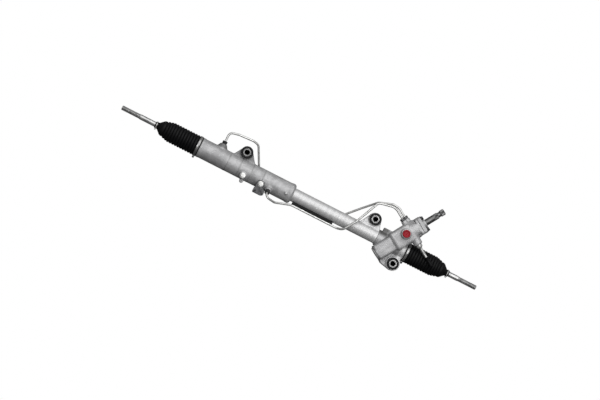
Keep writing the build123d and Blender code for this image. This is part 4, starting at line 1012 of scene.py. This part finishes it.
def stands():
    """A dark dot of the stage behind each bushing's bore, seen only through it: a painted shadow in the bore.
    """
    radius, sides, back = 9.0, 32, 19.4
    # Painted shadow: near-black discs that make the bores look shaded
    f = Finish("painted_bore_shadow")
    tone = f.mix(f.noise(400.0, 3.0, 0.5), (0.004, 0.004, 0.004), (0.008, 0.008, 0.008))
    f.set(base_color=tone, roughness=0.9, specular_ior_level=0.1)
    shadow_card = one_sided(f)
    angle = np.linspace(0, 2 * np.pi, sides, endpoint=False)
    for side, (x, z) in BUSHINGS.items():
        rim = np.column_stack([x + radius * np.cos(angle), np.full(sides, back), z + radius * np.sin(angle)])
        stage_disc(f"{side}_stand", place(rim), shadow_card)


# Each lamp's name, place, target, width and watts; metres
LAMPS = (
    ("softbox", (-0.2, -2.1, 1.5), (-0.2, 0, -0.04), 2.8, 60.0),
    ("front_lamp", (0.3, -2.7, -0.12), (-0.1, 0, -0.06), 0.4, 25.0),
    ("fill", (0.7, -3.3, 0.1), (-0.1, 0, -0.04), 1.6, 8.0),
)


def lamp(name, spot, target, size, power):
    """A square area lamp that faces its target."""
    data = bpy.data.lights.new(name, "AREA")
    data.size = size
    data.energy = power
    item = bpy.data.objects.new(name, data)
    item.location = spot
    item.rotation_mode = "QUATERNION"
    item.rotation_quaternion = (Vector(target) - Vector(spot)).to_track_quat("-Z", "Y")
    bpy.context.scene.collection.objects.link(item)


def surroundings():
    """White behind the rack for what sees it directly or in a reflection, a soft grey room elsewhere."""
    world = bpy.data.worlds.new("studio")
    bpy.context.scene.world = world
    world.use_nodes = True
    tree = world.node_tree
    tree.nodes.clear()

    def add(kind, settings=None, inputs=None):
        made = tree.nodes.new(kind)
        for key, value in (settings or {}).items():
            setattr(made, key, value)
        for key, value in (inputs or {}).items():
            if isinstance(value, bpy.types.NodeSocket):
                tree.links.new(value, made.inputs[key])
            else:
                made.inputs[key].default_value = value
        return made.outputs

    def ramp(value, low, high, dark=0.0, bright=1.0):
        inputs = {"Value": value, "From Min": low, "From Max": high, "To Min": dark, "To Max": bright}
        return add("ShaderNodeMapRange", {"interpolation_type": "SMOOTHSTEP"}, inputs)[0]

    def glow(strength):
        return add("ShaderNodeBackground", {}, {"Color": (1.0, 1.0, 1.0, 1.0), "Strength": strength})[0]

    def greater(first, second):
        return add("ShaderNodeMath", {"operation": "MAXIMUM"}, {0: first, 1: second})[0]

    where = add("ShaderNodeTexCoord")["Generated"]
    _, depth, height = add("ShaderNodeSeparateXYZ", {}, {0: where})
    room = ramp(height, -0.5, 0.7, 0.01, 0.30)
    backdrop = ramp(depth, 0.90, 0.97)
    path = add("ShaderNodeLightPath")
    reflected = greater(path["Is Glossy Ray"], path["Is Transmission Ray"])
    mirrored = glow(greater(room, backdrop))
    unseen = add("ShaderNodeMixShader", {}, {0: reflected, 1: glow(0.06), 2: mirrored})[0]
    full = add("ShaderNodeMixShader", {}, {0: path["Is Camera Ray"], 1: unseen, 2: glow(1.0)})[0]
    output = tree.nodes.new("ShaderNodeOutputWorld")
    tree.links.new(full, output.inputs["Surface"])


def camera(azimuth, elevation, roll, distance, centre, width):
    """Looks at the centre from an azimuth and elevation, rolled about its own view; all three in degrees.

    The width is what the picture spans at that distance.
    """
    a, e, r = map(math.radians, (azimuth, elevation, roll))
    back = Vector((math.sin(a) * math.cos(e), -math.cos(a) * math.cos(e), math.sin(e)))
    right = Vector((math.cos(a), math.sin(a), 0.0))
    up = back.cross(right)
    new_right = right * math.cos(r) + up * math.sin(r)
    new_up = up * math.cos(r) - right * math.sin(r)
    data = bpy.data.cameras.new("camera")
    data.sensor_width = 36.0
    data.lens = 36.0 * distance / width
    data.clip_end = 50.0
    item = bpy.data.objects.new("camera", data)
    turn = Matrix((new_right, new_up, back)).transposed().to_4x4()
    item.matrix_world = Matrix.Translation(Vector(centre) + back * distance) @ turn
    bpy.context.scene.collection.objects.link(item)
    bpy.context.scene.camera = item


floor()
stands()
surroundings()
for row in LAMPS:
    lamp(*row)
# The camera's azimuth, elevation, roll, distance, centre and width
camera(-2.5, -2.5, 26.92, 4.5, (-0.2152, 0.0, -0.0480), 1.704)

bpy.context.scene.view_settings.view_transform = "Standard"
